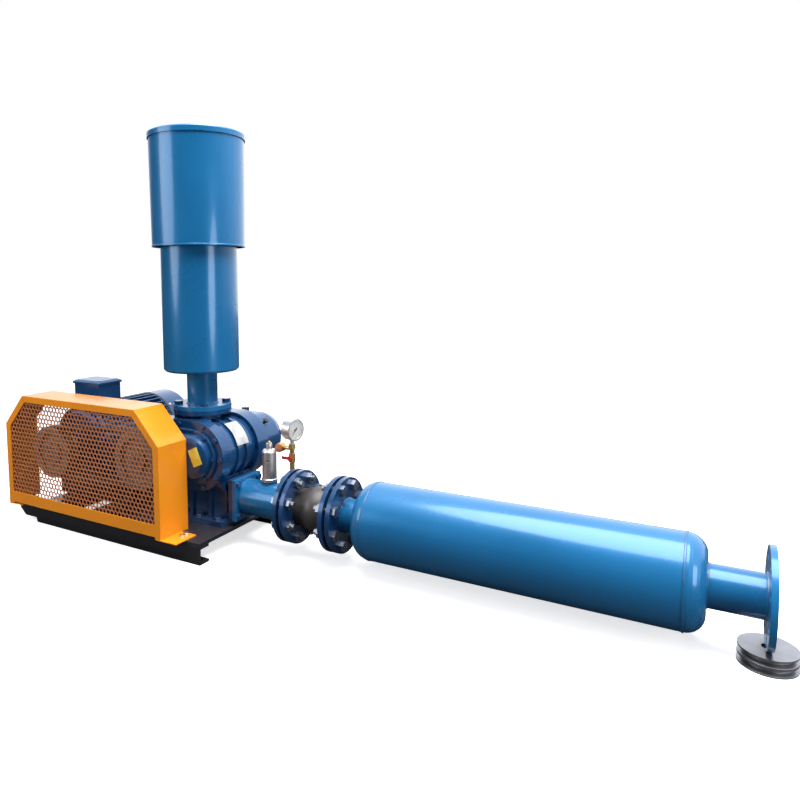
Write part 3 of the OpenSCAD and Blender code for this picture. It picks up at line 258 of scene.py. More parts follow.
def enamel(name, colour, dust=0.12, gloss=0.28, peel=0.10, edge=0.0012, wear_and_highlight=0.35,
           dust_colour=(0.30, 0.24, 0.19, 1), joint_paint_and_shade=None, coat=0.35):
    """Sprayed enamel: slight tone drift, orange peel, settled dust, and edges in a lighter copy of the paint
    that are partly rubbed wear and partly painted highlight.
    """
    material, tree, bsdf = shader(name)
    vector = object_space(tree)
    drift = noise(tree, vector, 5.5, 4, 0.55)
    base = mix(tree, drift, shade(colour, 0.80), shade(colour, 1.18))
    # The pipe flanges by the rubber joint take the flange paint, darkened further: partly their own darker
    # paint, partly painted shade on their faces.
    if joint_paint_and_shade:
        base = mix(tree, near_joint(tree), base, shade(joint_paint_and_shade, 0.8))
    fine = noise(tree, vector, 70, 5, 0.65)
    speck = ramp(tree, fine, 0.60, 0.78)
    geometry = tree.nodes.new("ShaderNodeNewGeometry")
    split = tree.nodes.new("ShaderNodeSeparateXYZ")
    tree.links.new(geometry.outputs["Normal"], split.inputs["Vector"])
    upward = maths(tree, "MAXIMUM", split.outputs["Z"], 0.0)
    cover = maths(tree, "ADD", maths(tree, "MULTIPLY", speck, 0.6), 0.25)
    settled = maths(tree, "MULTIPLY", upward, cover)
    settled = maths(tree, "MULTIPLY", settled, dust, clamp=True)
    base = mix(tree, settled, base, dust_colour)
    # Edges take a lighter copy of the paint: partly rubbed wear, partly a painted highlight on the rims.
    edges = edge_mask(tree, edge * 1.4)
    broken = ramp(tree, noise(tree, vector, 120, 4), 0.46, 0.62)
    rubbed_and_highlit = maths(tree, "MULTIPLY", edges, broken)
    rubbed_and_highlit = maths(tree, "MULTIPLY", rubbed_and_highlit, wear_and_highlight * 3, clamp=True)
    base = mix(tree, rubbed_and_highlit, base, shade(colour, 2.6))
    tree.links.new(base, bsdf.inputs["Base Color"])
    tree.links.new(spread(tree, drift, gloss - 0.06, gloss + 0.14), bsdf.inputs["Roughness"])
    bsdf.inputs["Coat Weight"].default_value = coat
    bsdf.inputs["Coat Roughness"].default_value = 0.10
    bsdf.inputs["Specular IOR Level"].default_value = 0.7
    brightest = max(colour)
    least_tint = 0.25
    tint = [least_tint + (1 - least_tint) * channel / brightest for channel in colour]
    bsdf.inputs["Specular Tint"].default_value = (*tint, 1)
    relief(tree, bsdf, noise(tree, vector, 320, 2), peel, 0.0008, edge)
    return material


def turned_metal(name, colour, rough=0.30, grain=(1, 1, 1), metallic=1.0):
    """Machined or plated metal with fine tool marks and darker patches."""
    material, tree, bsdf = shader(name)
    vector = object_space(tree, grain)
    marks = noise(tree, vector, 420, 3, 0.6)
    patches = noise(tree, object_space(tree), 26, 4)
    tree.links.new(mix(tree, patches, shade(colour, 0.66), shade(colour, 1.12)), bsdf.inputs["Base Color"])
    tree.links.new(spread(tree, marks, rough - 0.08, rough + 0.16), bsdf.inputs["Roughness"])
    bsdf.inputs["Metallic"].default_value = metallic
    relief(tree, bsdf, marks, 0.18, 0.0005, 0.0006)
    return material


def moulded(name, colour, rough=0.5, grain_scale=900, strength=0.25, edge=0.0008, haze=0.5):
    """Rubber or plastic with a fine grain and a grey bloom."""
    material, tree, bsdf = shader(name)
    vector = object_space(tree)
    bloom = noise(tree, vector, 14, 4, 0.6)
    tree.links.new(mix(tree, bloom, shade(colour, 0.75), shade(colour, 1 + haze)), bsdf.inputs["Base Color"])
    tree.links.new(spread(tree, bloom, rough - 0.10, rough + 0.12), bsdf.inputs["Roughness"])
    relief(tree, bsdf, noise(tree, vector, grain_scale, 2), strength, 0.0004, edge)
    return material


def cast_skin(name, colour, rough=0.55):
    """Grey iron with its sand-cast skin."""
    material, tree, bsdf = shader(name)
    vector = object_space(tree)
    patches = noise(tree, vector, 34, 5, 0.6)
    tree.links.new(mix(tree, patches, shade(colour, 0.55), shade(colour, 1.2)), bsdf.inputs["Base Color"])
    tree.links.new(spread(tree, patches, rough - 0.14, rough + 0.12), bsdf.inputs["Roughness"])
    bsdf.inputs["Metallic"].default_value = 0.75
    relief(tree, bsdf, noise(tree, vector, 260, 4, 0.7), 0.35, 0.0007, 0.0007)
    return material


def felt(name, colour):
    """Pleated filter felt."""
    material, tree, bsdf = shader(name)
    vector = object_space(tree)
    fibre = noise(tree, vector, 520, 5, 0.7, 0.4)
    tree.links.new(mix(tree, fibre, shade(colour, 0.72), shade(colour, 1.05)), bsdf.inputs["Base Color"])
    bsdf.inputs["Roughness"].default_value = 0.92
    bsdf.inputs["Sheen Weight"].default_value = 0.3
    relief(tree, bsdf, fibre, 0.6, 0.0006)
    return material


def clear_glass(name):
    """Window glass with faint smears."""
    material, tree, bsdf = shader(name)
    bsdf.inputs["Base Color"].default_value = (0.97, 0.98, 0.98, 1)
    bsdf.inputs["IOR"].default_value = 1.45
    bsdf.inputs["Transmission Weight"].default_value = 1.0
    smear = noise(tree, object_space(tree), 60, 3)
    tree.links.new(spread(tree, smear, 0.02, 0.09), bsdf.inputs["Roughness"])
    return material


def dial_white(name):
    """Matt white of the gauge's dial."""
    material, tree, bsdf = shader(name)
    vector = object_space(tree)
    tone = noise(tree, vector, 40, 3)
    tree.links.new(mix(tree, tone, (0.48, 0.49, 0.49, 1), (0.56, 0.56, 0.55, 1)), bsdf.inputs["Base Color"])
    bsdf.inputs["Roughness"].default_value = 0.45
    return material


def printed_plate(name, first, second, coat):
    """A bare plate with a soft two-tone face."""
    material, tree, bsdf = shader(name)
    vector = object_space(tree)
    tone = ramp(tree, noise(tree, vector, 30, 2), 0.40, 0.60)
    tree.links.new(mix(tree, tone, first, second), bsdf.inputs["Base Color"])
    bsdf.inputs["Roughness"].default_value = 0.34
    bsdf.inputs["Coat Weight"].default_value = coat
    relief(tree, bsdf, noise(tree, vector, 300, 2), 0.10, 0.0003, 0.0005)
    return material


def weld_metal(name, colour):
    """Painted bead with the ripples of a hand weld."""
    material, tree, bsdf = shader(name)
    vector = object_space(tree)
    ripple = noise(tree, vector, 260, 3, 0.5, 0.8)
    tree.links.new(mix(tree, ripple, shade(colour, 0.45), shade(colour, 1.1)), bsdf.inputs["Base Color"])
    tree.links.new(spread(tree, ripple, 0.25, 0.50), bsdf.inputs["Roughness"])
    bsdf.inputs["Coat Weight"].default_value = 0.4
    relief(tree, bsdf, ripple, 0.7, 0.0014)
    return material


FINISH = {}


def make_finishes(paint):
    """Makes every material once, under the name that the pieces ask for."""
    FINISH.update(
        silencer=enamel("silencer_enamel", paint.silencer_blue, dust=0.10, gloss=0.24, peel=0.07, edge=0.0018,
                        joint_paint_and_shade=paint.flange_blue),
        machine=enamel("machine_enamel", paint.machine_blue, dust=0.10, gloss=0.20, peel=0.16, edge=0.0012,
                       coat=0.45),
        flange=enamel("flange_enamel", paint.flange_blue, dust=0.16, gloss=0.26, peel=0.14, edge=0.0012,
                      wear_and_highlight=0.5),
        guard=enamel("guard_enamel", paint.guard_orange, dust=0.05, gloss=0.25, peel=0.06, edge=0.0018,
                     wear_and_highlight=0.12),
        # The grille's orange is darker and redder than the guard's: painted shade for the sheet, which sits
        # in the guard's shade.
        mesh=enamel("grille_enamel_painted_shade", (0.480, 0.165, 0.065), dust=0.05, gloss=0.35, peel=0.10, edge=0.0004,
                    wear_and_highlight=0.2),
        base=enamel("base_enamel", paint.base_black, dust=0.08, gloss=0.32, peel=0.18, edge=0.0010, wear_and_highlight=0.4),
        dusty=enamel("dusty_plate", (0.010, 0.011, 0.016), dust=0.30, gloss=0.36, peel=0.15,
                     dust_colour=(0.17, 0.11, 0.07, 1)),
        bolt=turned_metal("zinc_bolt", (0.62, 0.62, 0.60), 0.30),
        stained=turned_metal("stained_bolt", (0.30, 0.33, 0.38), 0.34),
        steel=turned_metal("ground_steel", (0.52, 0.53, 0.55), 0.26, grain=(1, 6, 1)),
        chrome=turned_metal("plated_steel", (0.78, 0.76, 0.75), 0.36),
        brass=turned_metal("plain_brass", (0.62, 0.43, 0.16), 0.30),
        copper=turned_metal("copper_cap", (0.74, 0.27, 0.14), 0.34, metallic=0.6),
        cast=cast_skin("grey_iron", (0.30, 0.29, 0.28)),
        pulley=cast_skin("pulley_iron", (0.46, 0.40, 0.35), 0.50),
        prop=turned_metal("spare_pulley", (0.36, 0.36, 0.38), 0.36),
        rubber=moulded("joint_rubber", (0.030, 0.026, 0.024), 0.42, 500, 0.3, 0.002, 1.4),
        belt=moulded("belt_rubber", (0.016, 0.015, 0.014), 0.6, 800, 0.4, 0.0008),
        plastic=moulded("black_plastic", (0.018, 0.018, 0.019), 0.38),
        red=moulded("red_grip", (0.50, 0.020, 0.018), 0.35, haze=0.2),
        felt=felt("filter_felt", (0.72, 0.69, 0.58)),
        glass=clear_glass("dial_glass"),
        dial=dial_white("dial_face"),
        ink=moulded("dial_ink", (0.01, 0.01, 0.011), 0.5),
        nameplate=printed_plate("bare_nameplate", (0.36, 0.37, 0.38, 1), (0.50, 0.50, 0.46, 1), 0.3),
        label=printed_plate("bare_yellow_plate", (0.86, 0.66, 0.03, 1), (0.92, 0.78, 0.16, 1), 0.5),
        weld=weld_metal("weld_bead", paint.silencer_blue),
    )


NODE_FINISH = {
    "silencer": ("outlet_silencer", "inlet_body", "inlet_hood", "hood_lid", "discharge_spool"),
    "machine": ("motor_frame", "motor_end_shields", "fan_cover", "terminal_box", "terminal_lid",
                "blower_casing", "drive_end_plate", "drive_end_cover", "gear_end_plate", "gear_case",
                "casing_bolts", "inlet_bolts", "box_bolts"),
    "flange": ("joint_flanges", "discharge_box"),
    "guard": ("belt_guard",),
    "mesh": ("guard_mesh",),
    "base": ("front_rail", "rear_rail", "cross_members", "motor_slide_rails"),
    "dusty": ("blower_plate",),
    "bolt": ("guard_bolts", "motor_feet_bolts"),
    "stained": ("flange_bolts",),
    "steel": ("motor_bearings", "motor_shaft", "shaft_bearings", "drive_shaft", "drive_gear", "driven_shaft",
              "driven_gear", "relief_spring"),
    "chrome": ("relief_body", "gauge_case"),
    "brass": ("oil_sight_glass", "relief_disc", "gauge_cock"),
    "cast": ("motor_stator", "motor_rotor", "drive_rotor", "driven_rotor", "outlet_core"),
    "pulley": ("motor_pulley", "blower_pulley"),
    "prop": ("prop_pulley",),
    "rubber": ("rubber_joint", "shaft_seals"),
    "belt": ("v_belts",),
    "plastic": ("cable_gland", "cooling_fan", "breather_plug", "gauge_needle"),
    "red": ("cock_handle",),
    "felt": ("inlet_filter",),
}


# Mesh helpers

def add_piece(name, bm, finish, body=STATIC, replaces=(), smooth=True):
    """Turns a bmesh into a piece that rides on a body of the frame."""
    bmesh.ops.recalc_face_normals(bm, faces=bm.faces)
    mesh = bpy.data.meshes.new(name)
    bm.to_mesh(mesh)
    bm.free()
    if smooth:
        mesh.polygons.foreach_set("use_smooth", [True] * len(mesh.polygons))
        mesh.set_sharp_from_angle(angle=math.radians(40))
    mesh.materials.append(FINISH[finish])
    piece = bpy.data.objects.new(name, mesh)
    bpy.context.scene.collection.objects.link(piece)
    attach(piece, body)
    if replaces:
        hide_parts(*replaces)
    return piece


def join(bm, part):
    """Adds a finished bmesh to another one."""
    mesh = bpy.data.meshes.new("part")
    part.to_mesh(mesh)
    part.free()
    bm.from_mesh(mesh)
    bpy.data.meshes.remove(mesh)


def ring_bead(bm, centre, turn, radius, width, height, steps=96):
    """A rounded bead round an axis, proud of the surface that it lies on."""
    part = bmesh.new()
    start = bmesh.ops.create_circle(part, segments=8, radius=0.5)["verts"]
    bmesh.ops.scale(part, vec=(2 * height, width, 1), verts=start)
    bmesh.ops.rotate(part, verts=start, cent=(0, 0, 0), matrix=Matrix.Rotation(math.radians(90), 3, "X"))
    bmesh.ops.translate(part, verts=start, vec=(radius, 0, 0))
    bmesh.ops.spin(part, geom=part.verts[:] + part.edges[:], cent=(0, 0, 0), axis=(0, 0, 1),
                   angle=2 * math.pi, steps=steps, use_merge=True)
    bmesh.ops.transform(part, matrix=Matrix.Translation(centre) @ turn, verts=part.verts[:])
    join(bm, part)


def disc(bm, radius, depth, place, segments=48, bevel=0.0):
    """A short cylinder, standing on its own origin along Z, put in place by a matrix."""
    part = bmesh.new()
    bmesh.ops.create_cone(part, cap_ends=True, segments=segments, radius1=radius, radius2=radius, depth=depth)
    bmesh.ops.translate(part, verts=part.verts[:], vec=(0, 0, depth / 2))
    if bevel:
        top = [e for e in part.edges if all(v.co.z > depth * 0.9 for v in e.verts)]
        bmesh.ops.bevel(part, geom=top, offset=bevel, affect="EDGES", segments=2, profile=0.5, material=-1)
    bmesh.ops.transform(part, matrix=place, verts=part.verts[:])
    join(bm, part)


def everything(bm):
    """All verts, edges and faces."""
    return bm.verts[:] + bm.edges[:] + bm.faces[:]


# Pieces

class BLOWER_OT_finishes(bpy.types.Operator):
    """Paint every solid of the frame in the finish of the real piece"""
    bl_idname = "blower.finishes"
    bl_label = "Paint the solids"

    def execute(self, context):
        make_finishes(context.scene.blower_paint)
        for finish, names in NODE_FINISH.items():
            for name in names:
                for holder in CAD[name].material_slots:
                    holder.material = FINISH[finish]
        return {"FINISHED"}


class BLOWER_OT_grille(bpy.types.Operator):
    """Make the fine hexagon-holed sheet behind the guard's border"""
    bl_idname = "blower.grille"
    bl_label = "Guard grille"

    def execute(self, context):
        trim = context.scene.blower_trim
        low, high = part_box("guard_mesh")
        guard_low, guard_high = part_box("belt_guard")
        pitch = trim.grille_pitch
        row = pitch * math.sin(math.radians(60))
        bm = bmesh.new()
        bmesh.ops.create_circle(bm, cap_ends=True, segments=6, radius=pitch / math.sqrt(3))
        bmesh.ops.inset_individual(bm, faces=bm.faces[:], thickness=trim.grille_bridge / 2,
                                   use_even_offset=True)
        middle = [f for f in bm.faces if len(f.verts) == 6]
        bmesh.ops.delete(bm, geom=middle, context="FACES_ONLY")
        columns = int((high[0] - low[0]) / pitch) + 2
        rows = int((high[2] - low[2]) / row) + 2
        second = bmesh.ops.duplicate(bm, geom=everything(bm))["geom"]
        bmesh.ops.translate(bm, verts=[v for v in second if isinstance(v, bmesh.types.BMVert)],
                            vec=(pitch / 2, row, 0))
        bmesh.ops.spin(bm, geom=everything(bm), cent=(0, 0, 0), axis=(0, 0, 1), angle=0,
                       dvec=(pitch, 0, 0), steps=columns, use_duplicate=True)
        bmesh.ops.spin(bm, geom=everything(bm), cent=(0, 0, 0), axis=(0, 0, 1), angle=0,
                       dvec=(0, 2 * row, 0), steps=rows // 2 + 1, use_duplicate=True)
        bmesh.ops.remove_doubles(bm, verts=bm.verts[:], dist=1e-5)
        upright = Matrix.Rotation(math.radians(90), 3, "X")
        behind_face = 0.0002
        bmesh.ops.rotate(bm, verts=bm.verts[:], cent=(0, 0, 0), matrix=upright)
        bmesh.ops.translate(bm, verts=bm.verts[:], vec=(low[0], low[1] + behind_face, low[2]))
        corner_w, corner_h = 0.086, 0.093
        margin, corner_margin = 0.001, 0.004
        right_slope = Vector((corner_h, 0, corner_w)).normalized()
        left_slope = Vector((-right_slope.x, 0, right_slope.z))
        right_corner = Vector((guard_right_x(guard_high) - corner_w, 0, guard_high[2]))
        left_corner = Vector((guard_low[0] + corner_w, 0, guard_high[2]))
        cuts = (
            ((low[0] + margin, 0, 0), (-1, 0, 0)),
            ((high[0] - margin, 0, 0), (1, 0, 0)),
            ((0, 0, low[2] + margin), (0, 0, -1)),
            ((0, 0, high[2] - margin), (0, 0, 1)),
            (right_corner - right_slope * corner_margin, right_slope),
            (left_corner - left_slope * corner_margin, left_slope),
        )
        for point, normal in cuts:
            bmesh.ops.bisect_plane(bm, geom=everything(bm), dist=1e-6, plane_co=point,
                                   plane_no=normal, clear_outer=True)
        piece = add_piece("guard_grille", bm, "mesh", replaces=("guard_mesh",), smooth=False)
        wall = piece.modifiers.new("sheet", "SOLIDIFY")
        wall.thickness = trim.grille_sheet
        wall.offset = -1 if piece.data.polygons[0].normal.y < 0 else 1
        return {"FINISHED"}


def guard_right_x(guard_high):
    """Right side of the guard's body, without the foot that stands out from it."""
    foot_reach = 0.055
    return guard_high[0] - foot_reach


class BLOWER_OT_welds(bpy.types.Operator):
    """Lay the weld beads on the silencers and at the flanges"""
    bl_idname = "blower.welds"
    bl_label = "Weld beads"

    def execute(self, context):
        width = context.scene.blower_trim.weld_width
        low_bead, high_bead = 0.0016, 0.0030
        line = Vector((0, 0, PIPE_HEIGHT))
        bm = bmesh.new()
        for seams, radius in ((SHELL_SEAMS, SHELL_RADIUS), (STUB_SEAMS, PIPE_RADIUS)):
            for x in seams:
                ring_bead(bm, line + Vector((x, 0, 0)), ALONG_X, radius, width, low_bead)
        for x in FLANGE_SEAMS:
            ring_bead(bm, line + Vector((x, 0, 0)), ALONG_X, PIPE_RADIUS, width * 1.5, high_bead)
        add_piece("outlet_weld_beads", bm, "weld")
        bm = bmesh.new()
        for z in NECK_SEAMS:
            ring_bead(bm, Vector((0, 0, z)), Matrix(), PIPE_RADIUS, width * 1.4, high_bead)
        add_piece("inlet_weld_beads", bm, "weld")
        seam_length, seam_middle = 0.706, 0.932
        bm = bmesh.new()
        verts = bmesh.ops.create_cone(bm, cap_ends=True, segments=10, radius1=width / 2,
                                      radius2=width / 2, depth=seam_length)["verts"]
        bmesh.ops.scale(bm, vec=(0.6, 1, 1), verts=verts)
        lengthwise = [e for e in bm.edges if abs(e.verts[0].co.z - e.verts[1].co.z) > 0.1]
        bmesh.ops.subdivide_edges(bm, edges=lengthwise, cuts=60)
        bmesh.ops.translate(bm, verts=bm.verts[:], vec=(SHELL_RADIUS, 0, 0))
        seam = (Matrix.Translation((seam_middle, 0, PIPE_HEIGHT))
                @ Matrix.Rotation(math.radians(-63), 4, "X") @ ALONG_X
                @ Matrix.Rotation(math.radians(180), 4, "Z"))
        bmesh.ops.transform(bm, matrix=seam, verts=bm.verts[:])
        add_piece("outlet_long_seam", bm, "weld")
        return {"FINISHED"}


class BLOWER_OT_dial(bpy.types.Operator):
    """Make the gauge's dial with its marks, and its glass"""
    bl_idname = "blower.dial"
    bl_label = "Gauge dial"

    def execute(self, context):
        marks = context.scene.blower_trim.dial_marks
        face = Matrix.Translation(GAUGE_CENTRE) @ Matrix.Rotation(GAUGE_TURN, 4, "Z") @ ALONG_Y
        dial_radius, dial_depth = 0.0248, -0.0122
        window_radius, window_depth = 0.0268, -0.0170
        mark_depth = -0.0123
        first_angle, sweep = 225, 270
        bm = bmesh.new()
        disc(bm, dial_radius, 0.0003, face @ Matrix.Translation((0, 0, dial_depth)), 64)
        add_piece("dial_plate", bm, "dial")
        bm = bmesh.new()
        for i in range(marks):
            long = i % 5 == 0
            length = 0.0042 if long else 0.0022
            width = 0.0007 if long else 0.0004
            radius = 0.0218 if long else 0.0228
            angle = math.radians(first_angle - sweep * i / (marks - 1))
            verts = bmesh.ops.create_cube(bm, size=1.0)["verts"]
            bmesh.ops.scale(bm, vec=(length, width, 0.0002), verts=verts)
            spot = Matrix.Rotation(-angle, 4, "Z") @ Matrix.Translation((radius, 0, mark_depth))
            bmesh.ops.transform(bm, matrix=face @ spot, verts=verts)
        add_piece("dial_marks", bm, "ink", smooth=False)
        bm = bmesh.new()
        disc(bm, window_radius, 0.0006, face @ Matrix.Translation((0, 0, window_depth)), 64)
        add_piece("dial_window", bm, "glass")
        return {"FINISHED"}


def curved_plate(bm, cyl_centre, radius, angle_low, angle_high, y_low, y_high, thickness):
    """A thin plate bent round an axis along Y, with angles from +X towards +Z, in degrees."""
    turn = math.radians(angle_high - angle_low)
    first = bm.verts.new((radius, 0, 0))
    second = bm.verts.new((radius, y_high - y_low, 0))
    edge = bm.edges.new((first, second))
    bmesh.ops.spin(bm, geom=[first, second, edge], cent=(0, 0, 0), axis=(0, -1, 0), angle=turn, steps=12)
    bmesh.ops.recalc_face_normals(bm, faces=bm.faces[:])
    faces = bm.faces[:]
    if faces[0].normal.dot(faces[0].calc_center_median() * Vector((1, 0, 1))) < 0:
        bmesh.ops.reverse_faces(bm, faces=faces)
    bmesh.ops.solidify(bm, geom=faces, thickness=-thickness)
    place = (Matrix.Translation(cyl_centre + Vector((0, y_low, 0)))
             @ Matrix.Rotation(-math.radians(angle_low), 4, "Y"))
    bmesh.ops.transform(bm, matrix=place, verts=bm.verts[:])


class BLOWER_OT_plates(bpy.types.Operator):
    """Lay the bare nameplate and the bare yellow plate on the blower"""
    bl_idname = "blower.plates"
    bl_label = "Bare plates"

    def execute(self, context):
        sheet = 0.0008
        half_width = 0.0260
        rib_radius = 0.0939
        bm = bmesh.new()
        curved_plate(bm, DRIVEN_CENTRE, rib_radius, 15, 62, -half_width, half_width, sheet)
        add_piece("bare_nameplate", bm, "nameplate")
        bm = bmesh.new()
        bmesh.ops.create_cube(bm, size=1)
        bmesh.ops.scale(bm, vec=(0.034, sheet, 0.050), verts=bm.verts[:])
        bmesh.ops.bevel(bm, geom=bm.edges[:], offset=0.0002, segments=1, affect="EDGES")
        tilt = Matrix.Translation((0.0820, -0.13065, 0.2685)) @ Matrix.Rotation(math.radians(-24), 4, "Y")
        bmesh.ops.transform(bm, matrix=tilt, verts=bm.verts[:])
        add_piece("bare_yellow_plate", bm, "label")
        return {"FINISHED"}


class BLOWER_OT_screws(bpy.types.Operator):
    """Set the small screws, the two caps and the fan cover's seal"""
    bl_idname = "blower.screws"
    bl_label = "Small screws"

    def execute(self, context):
        low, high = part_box("terminal_lid")
        inset = 0.010
        cowl_radius = 0.1225
        bm = bmesh.new()
        for x in (low[0] + inset, high[0] - inset):
            for y in (low[1] + inset, high[1] - inset):
                spot = Matrix.Translation((x, y, low[2] + 0.007))
                disc(bm, 0.0040, 0.0032, spot, 20, 0.0008)
        add_piece("lid_screws", bm, "bolt")
        bm = bmesh.new()
        for turn in (45, 135, 225, 315):
            spot = (Matrix.Translation(MOTOR_CENTRE) @ Matrix.Rotation(math.radians(turn), 4, "Y")
                    @ Matrix.Translation((cowl_radius, 0.206, 0)) @ ALONG_X)
            disc(bm, 0.0045, 0.0035, spot, 20, 0.0010)
        add_piece("cowl_screws", bm, "bolt")
        bm = bmesh.new()
        disc(bm, 0.0122, 0.0030, Matrix.Translation((0.259, 0.0212, 0.284)) @ TOWARDS_FRONT, 40, 0.0008)
        add_piece("copper_cap", bm, "copper")
        bm = bmesh.new()
        spot = (Matrix.Translation(DRIVEN_CENTRE + Vector((0, 0.150, 0)))
                @ Matrix.Rotation(math.radians(45), 4, "Y") @ Matrix.Translation((0, 0, 0.0775)))
        disc(bm, 0.0048, 0.0110, spot, 24)
        disc(bm, 0.0085, 0.0055, spot @ Matrix.Translation((0, 0, 0.0105)), 24, 0.0012)
        add_piece("filler_cap", bm, "plastic")
        bm = bmesh.new()
        ring_bead(bm, MOTOR_CENTRE + Vector((0, 0.194, 0)), ALONG_Y, cowl_radius, 0.007, 0.0022)
        add_piece("cowl_seal", bm, "belt")
        return {"FINISHED"}


class BLOWER_OT_spring(bpy.types.Operator):
    """Wind the relief valve's spring as a fixed coil; in the valve it is pressed against the cap as the disc
    lifts
    """
    bl_idname = "blower.spring"
    bl_label = "Relief spring"

    def execute(self, context):
        low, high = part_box("relief_spring")
        wire = 0.0013
        coil_radius = 0.0110
        turns = 6
        steps_per_turn = 28
        steps = turns * steps_per_turn
        rise = (high[2] - low[2] - 2 * wire) / steps
        bm = bmesh.new()
        bmesh.ops.create_circle(bm, radius=wire, segments=10)
        stand = Matrix.Translation((RELIEF_X + coil_radius, 0, low[2] + wire)) @ TOWARDS_FRONT
        bmesh.ops.transform(bm, matrix=stand, verts=bm.verts[:])
        bmesh.ops.spin(bm, geom=bm.verts[:] + bm.edges[:], cent=(RELIEF_X, 0, 0), axis=(0, 0, 1),
                       dvec=(0, 0, rise), angle=math.radians(360 * turns), steps=steps)
        bmesh.ops.holes_fill(bm, edges=[edge for edge in bm.edges if edge.is_boundary], sides=10)
        spring = add_piece("relief_coil", bm, "steel", replaces=("relief_spring",))
        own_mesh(spring)
        return {"FINISHED"}


# Stage

def lit_backdrop(name, tone, bounce, lift):
    """Pale to the camera and whiter far off, darker in reflections and to bounced light."""
    material, tree, bsdf = shader(name)
    path = tree.nodes.new("ShaderNodeLightPath")
    seen = maths(tree, "MAXIMUM", path.outputs["Is Camera Ray"], path.outputs["Is Transmission Ray"])
    grain = noise(tree, object_space(tree), 6, 2)
    pale = mix(tree, grain, (tone, tone, tone, 1), (tone * 0.985, tone * 0.985, tone * 0.985, 1))
    tree.links.new(mix(tree, seen, (bounce, bounce, bounce, 1), pale), bsdf.inputs["Base Color"])
    bsdf.inputs["Roughness"].default_value = 0.9
    bsdf.inputs["Specular IOR Level"].default_value = 0.1
    bsdf.inputs["Emission Color"].default_value = (1, 1, 1, 1)
    reach = tree.nodes.new("ShaderNodeVectorMath")
    reach.operation = "LENGTH"
    tree.links.new(object_space(tree), reach.inputs[0])
    fade_start, fade_length = 1.6, 4.0
    beyond = maths(tree, "SUBTRACT", reach.outputs["Value"], fade_start)
    far = maths(tree, "DIVIDE", beyond, fade_length, clamp=True)
    glow = maths(tree, "ADD", maths(tree, "MULTIPLY", far, 1.0 - lift), lift)
    tree.links.new(maths(tree, "MULTIPLY", seen, glow), bsdf.inputs["Emission Strength"])
    return material


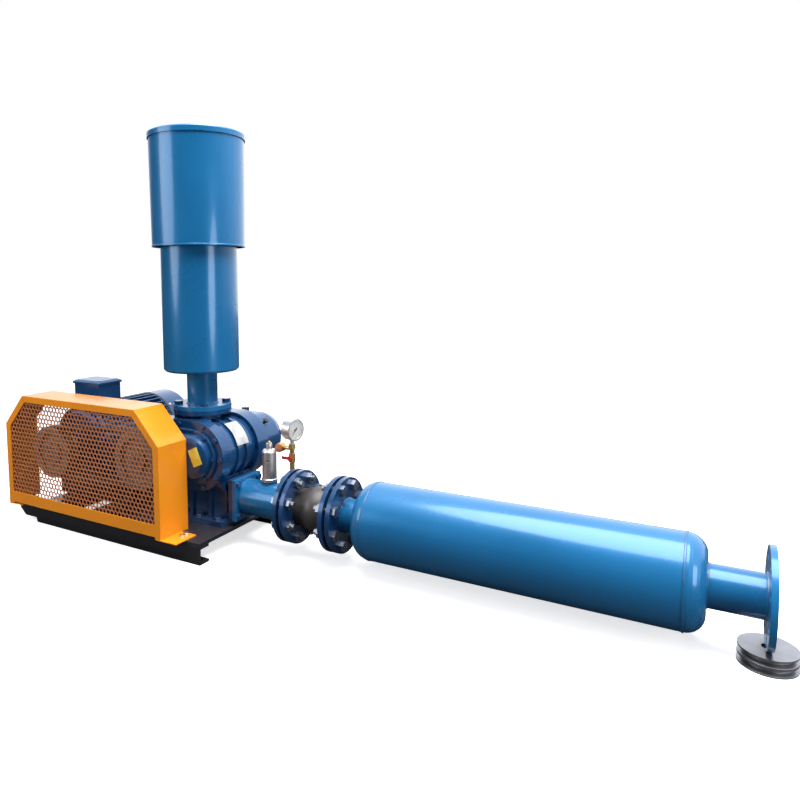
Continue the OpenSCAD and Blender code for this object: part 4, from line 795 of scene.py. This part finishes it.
class BLOWER_OT_stage(bpy.types.Operator):
    """Set the floor, the lights, the world and the camera"""
    bl_idname = "blower.stage"
    bl_label = "Stage"

    def execute(self, context):
        scene = context.scene
        studio = scene.blower_studio
        mesh = bpy.data.meshes.new("studio_floor")
        bm = bmesh.new()
        bmesh.ops.create_grid(bm, x_segments=8, y_segments=8, size=14)
        bm.to_mesh(mesh)
        bm.free()
        floor = bpy.data.objects.new("studio_floor", mesh)
        mesh.materials.append(lit_backdrop("studio_floor", tone=0.85, bounce=0.06, lift=0.66))
        scene.collection.objects.link(floor)
        self.sky(scene)
        self.lamp("key_light", (-1.4, -1.9, 1.3), (-0.2, 0, 0.3), 1.6, studio.key_power)
        self.lamp("top_light", (1.0, -0.1, 2.8), (0.8, 0, 0.2), 2.6, studio.top_power)
        self.lamp("side_light", (2.4, -0.6, 0.7), (1.3, 0, 0.15), 0.9, 16)
        camera = bpy.data.objects.new("photo_camera", bpy.data.cameras.new("photo_camera"))
        camera.data.sensor_width = 36
        camera.data.lens = studio.lens
        picture = 800
        centre_x, centre_y = 332.8, 343.12
        camera.data.shift_x = (picture / 2 - centre_x) / picture
        camera.data.shift_y = (centre_y - picture / 2) / picture
        right = Vector((0.8644, 0.5028, -0.0060))
        up = Vector((-0.0404, 0.0814, 0.9959))
        back = Vector((0.5012, -0.8606, 0.0907))
        turn = Matrix((right, up, back)).transposed().to_quaternion().to_matrix().to_4x4()
        camera.matrix_world = Matrix.Translation((1.3237, -1.4993, 0.7492)) @ turn
        scene.collection.objects.link(camera)
        scene.camera = camera
        scene.view_settings.view_transform = "Standard"
        return {"FINISHED"}

    @staticmethod
    def sky(scene):
        """White to the camera, and to reflections a bright sky behind the set and a dim hall before it."""
        world = bpy.data.worlds.new("studio_world")
        world.use_nodes = True
        scene.world = world
        tree = world.node_tree
        path = tree.nodes.new("ShaderNodeLightPath")
        coords = tree.nodes.new("ShaderNodeTexCoord")
        facing = tree.nodes.new("ShaderNodeVectorMath")
        facing.operation = "DOT_PRODUCT"
        facing.inputs[1].default_value = Vector((0.12, 0.62, 0.78)).normalized()
        tree.links.new(coords.outputs["Generated"], facing.inputs[0])
        glow = ramp(tree, facing.outputs["Value"], 0.08, 0.58, (0.05, 0.07, 0.11, 1), (1.60, 1.68, 1.80, 1))
        glossy = mix(tree, path.outputs["Is Glossy Ray"], (0.13, 0.16, 0.22, 1), glow)
        seen = maths(tree, "MAXIMUM", path.outputs["Is Camera Ray"], path.outputs["Is Transmission Ray"])
        background = tree.nodes["Background"]
        tree.links.new(mix(tree, seen, glossy, (1, 1, 1, 1)), background.inputs["Color"])

    @staticmethod
    def lamp(name, place, aim, size, power):
        """A round area light that looks at a point."""
        light = bpy.data.lights.new(name, "AREA")
        light.shape = "DISK"
        light.size = size
        light.energy = power
        lamp = bpy.data.objects.new(name, light)
        lamp.location = place
        lamp.rotation_euler = (Vector(aim) - Vector(place)).to_track_quat("-Z", "Y").to_euler()
        bpy.context.scene.collection.objects.link(lamp)


STEPS = (
    BLOWER_OT_finishes,
    BLOWER_OT_grille,
    BLOWER_OT_welds,
    BLOWER_OT_dial,
    BLOWER_OT_plates,
    BLOWER_OT_screws,
    BLOWER_OT_spring,
    BLOWER_OT_stage,
)


class BLOWER_PT_panel(bpy.types.Panel):
    """Lists the steps that finish the blower set"""
    bl_label = "Blower set"
    bl_idname = "BLOWER_PT_panel"
    bl_space_type = "VIEW_3D"
    bl_region_type = "UI"
    bl_category = "Blower"

    def draw(self, context):
        column = self.layout.column()
        for settings in (context.scene.blower_paint, context.scene.blower_trim, context.scene.blower_studio):
            for key in settings.bl_rna.properties.keys():
                if key not in ("rna_type", "name"):
                    column.prop(settings, key)
        for step in STEPS:
            column.operator(step.bl_idname)


GROUPS = (
    ("blower_paint", BLOWER_PG_paint),
    ("blower_trim", BLOWER_PG_trim),
    ("blower_studio", BLOWER_PG_studio),
)


def register():
    for _, group in GROUPS:
        bpy.utils.register_class(group)
    for key, group in GROUPS:
        setattr(bpy.types.Scene, key, PointerProperty(type=group))
    for step in STEPS:
        bpy.utils.register_class(step)
    bpy.utils.register_class(BLOWER_PT_panel)


def unregister():
    bpy.utils.unregister_class(BLOWER_PT_panel)
    for step in reversed(STEPS):
        bpy.utils.unregister_class(step)
    for key, group in reversed(GROUPS):
        delattr(bpy.types.Scene, key)
        bpy.utils.unregister_class(group)


def main():
    """Registers the add-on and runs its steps."""
    register()
    for step in STEPS:
        group, name = step.bl_idname.split(".")
        getattr(getattr(bpy.ops, group), name)()


if __name__ == "__main__":
    main()
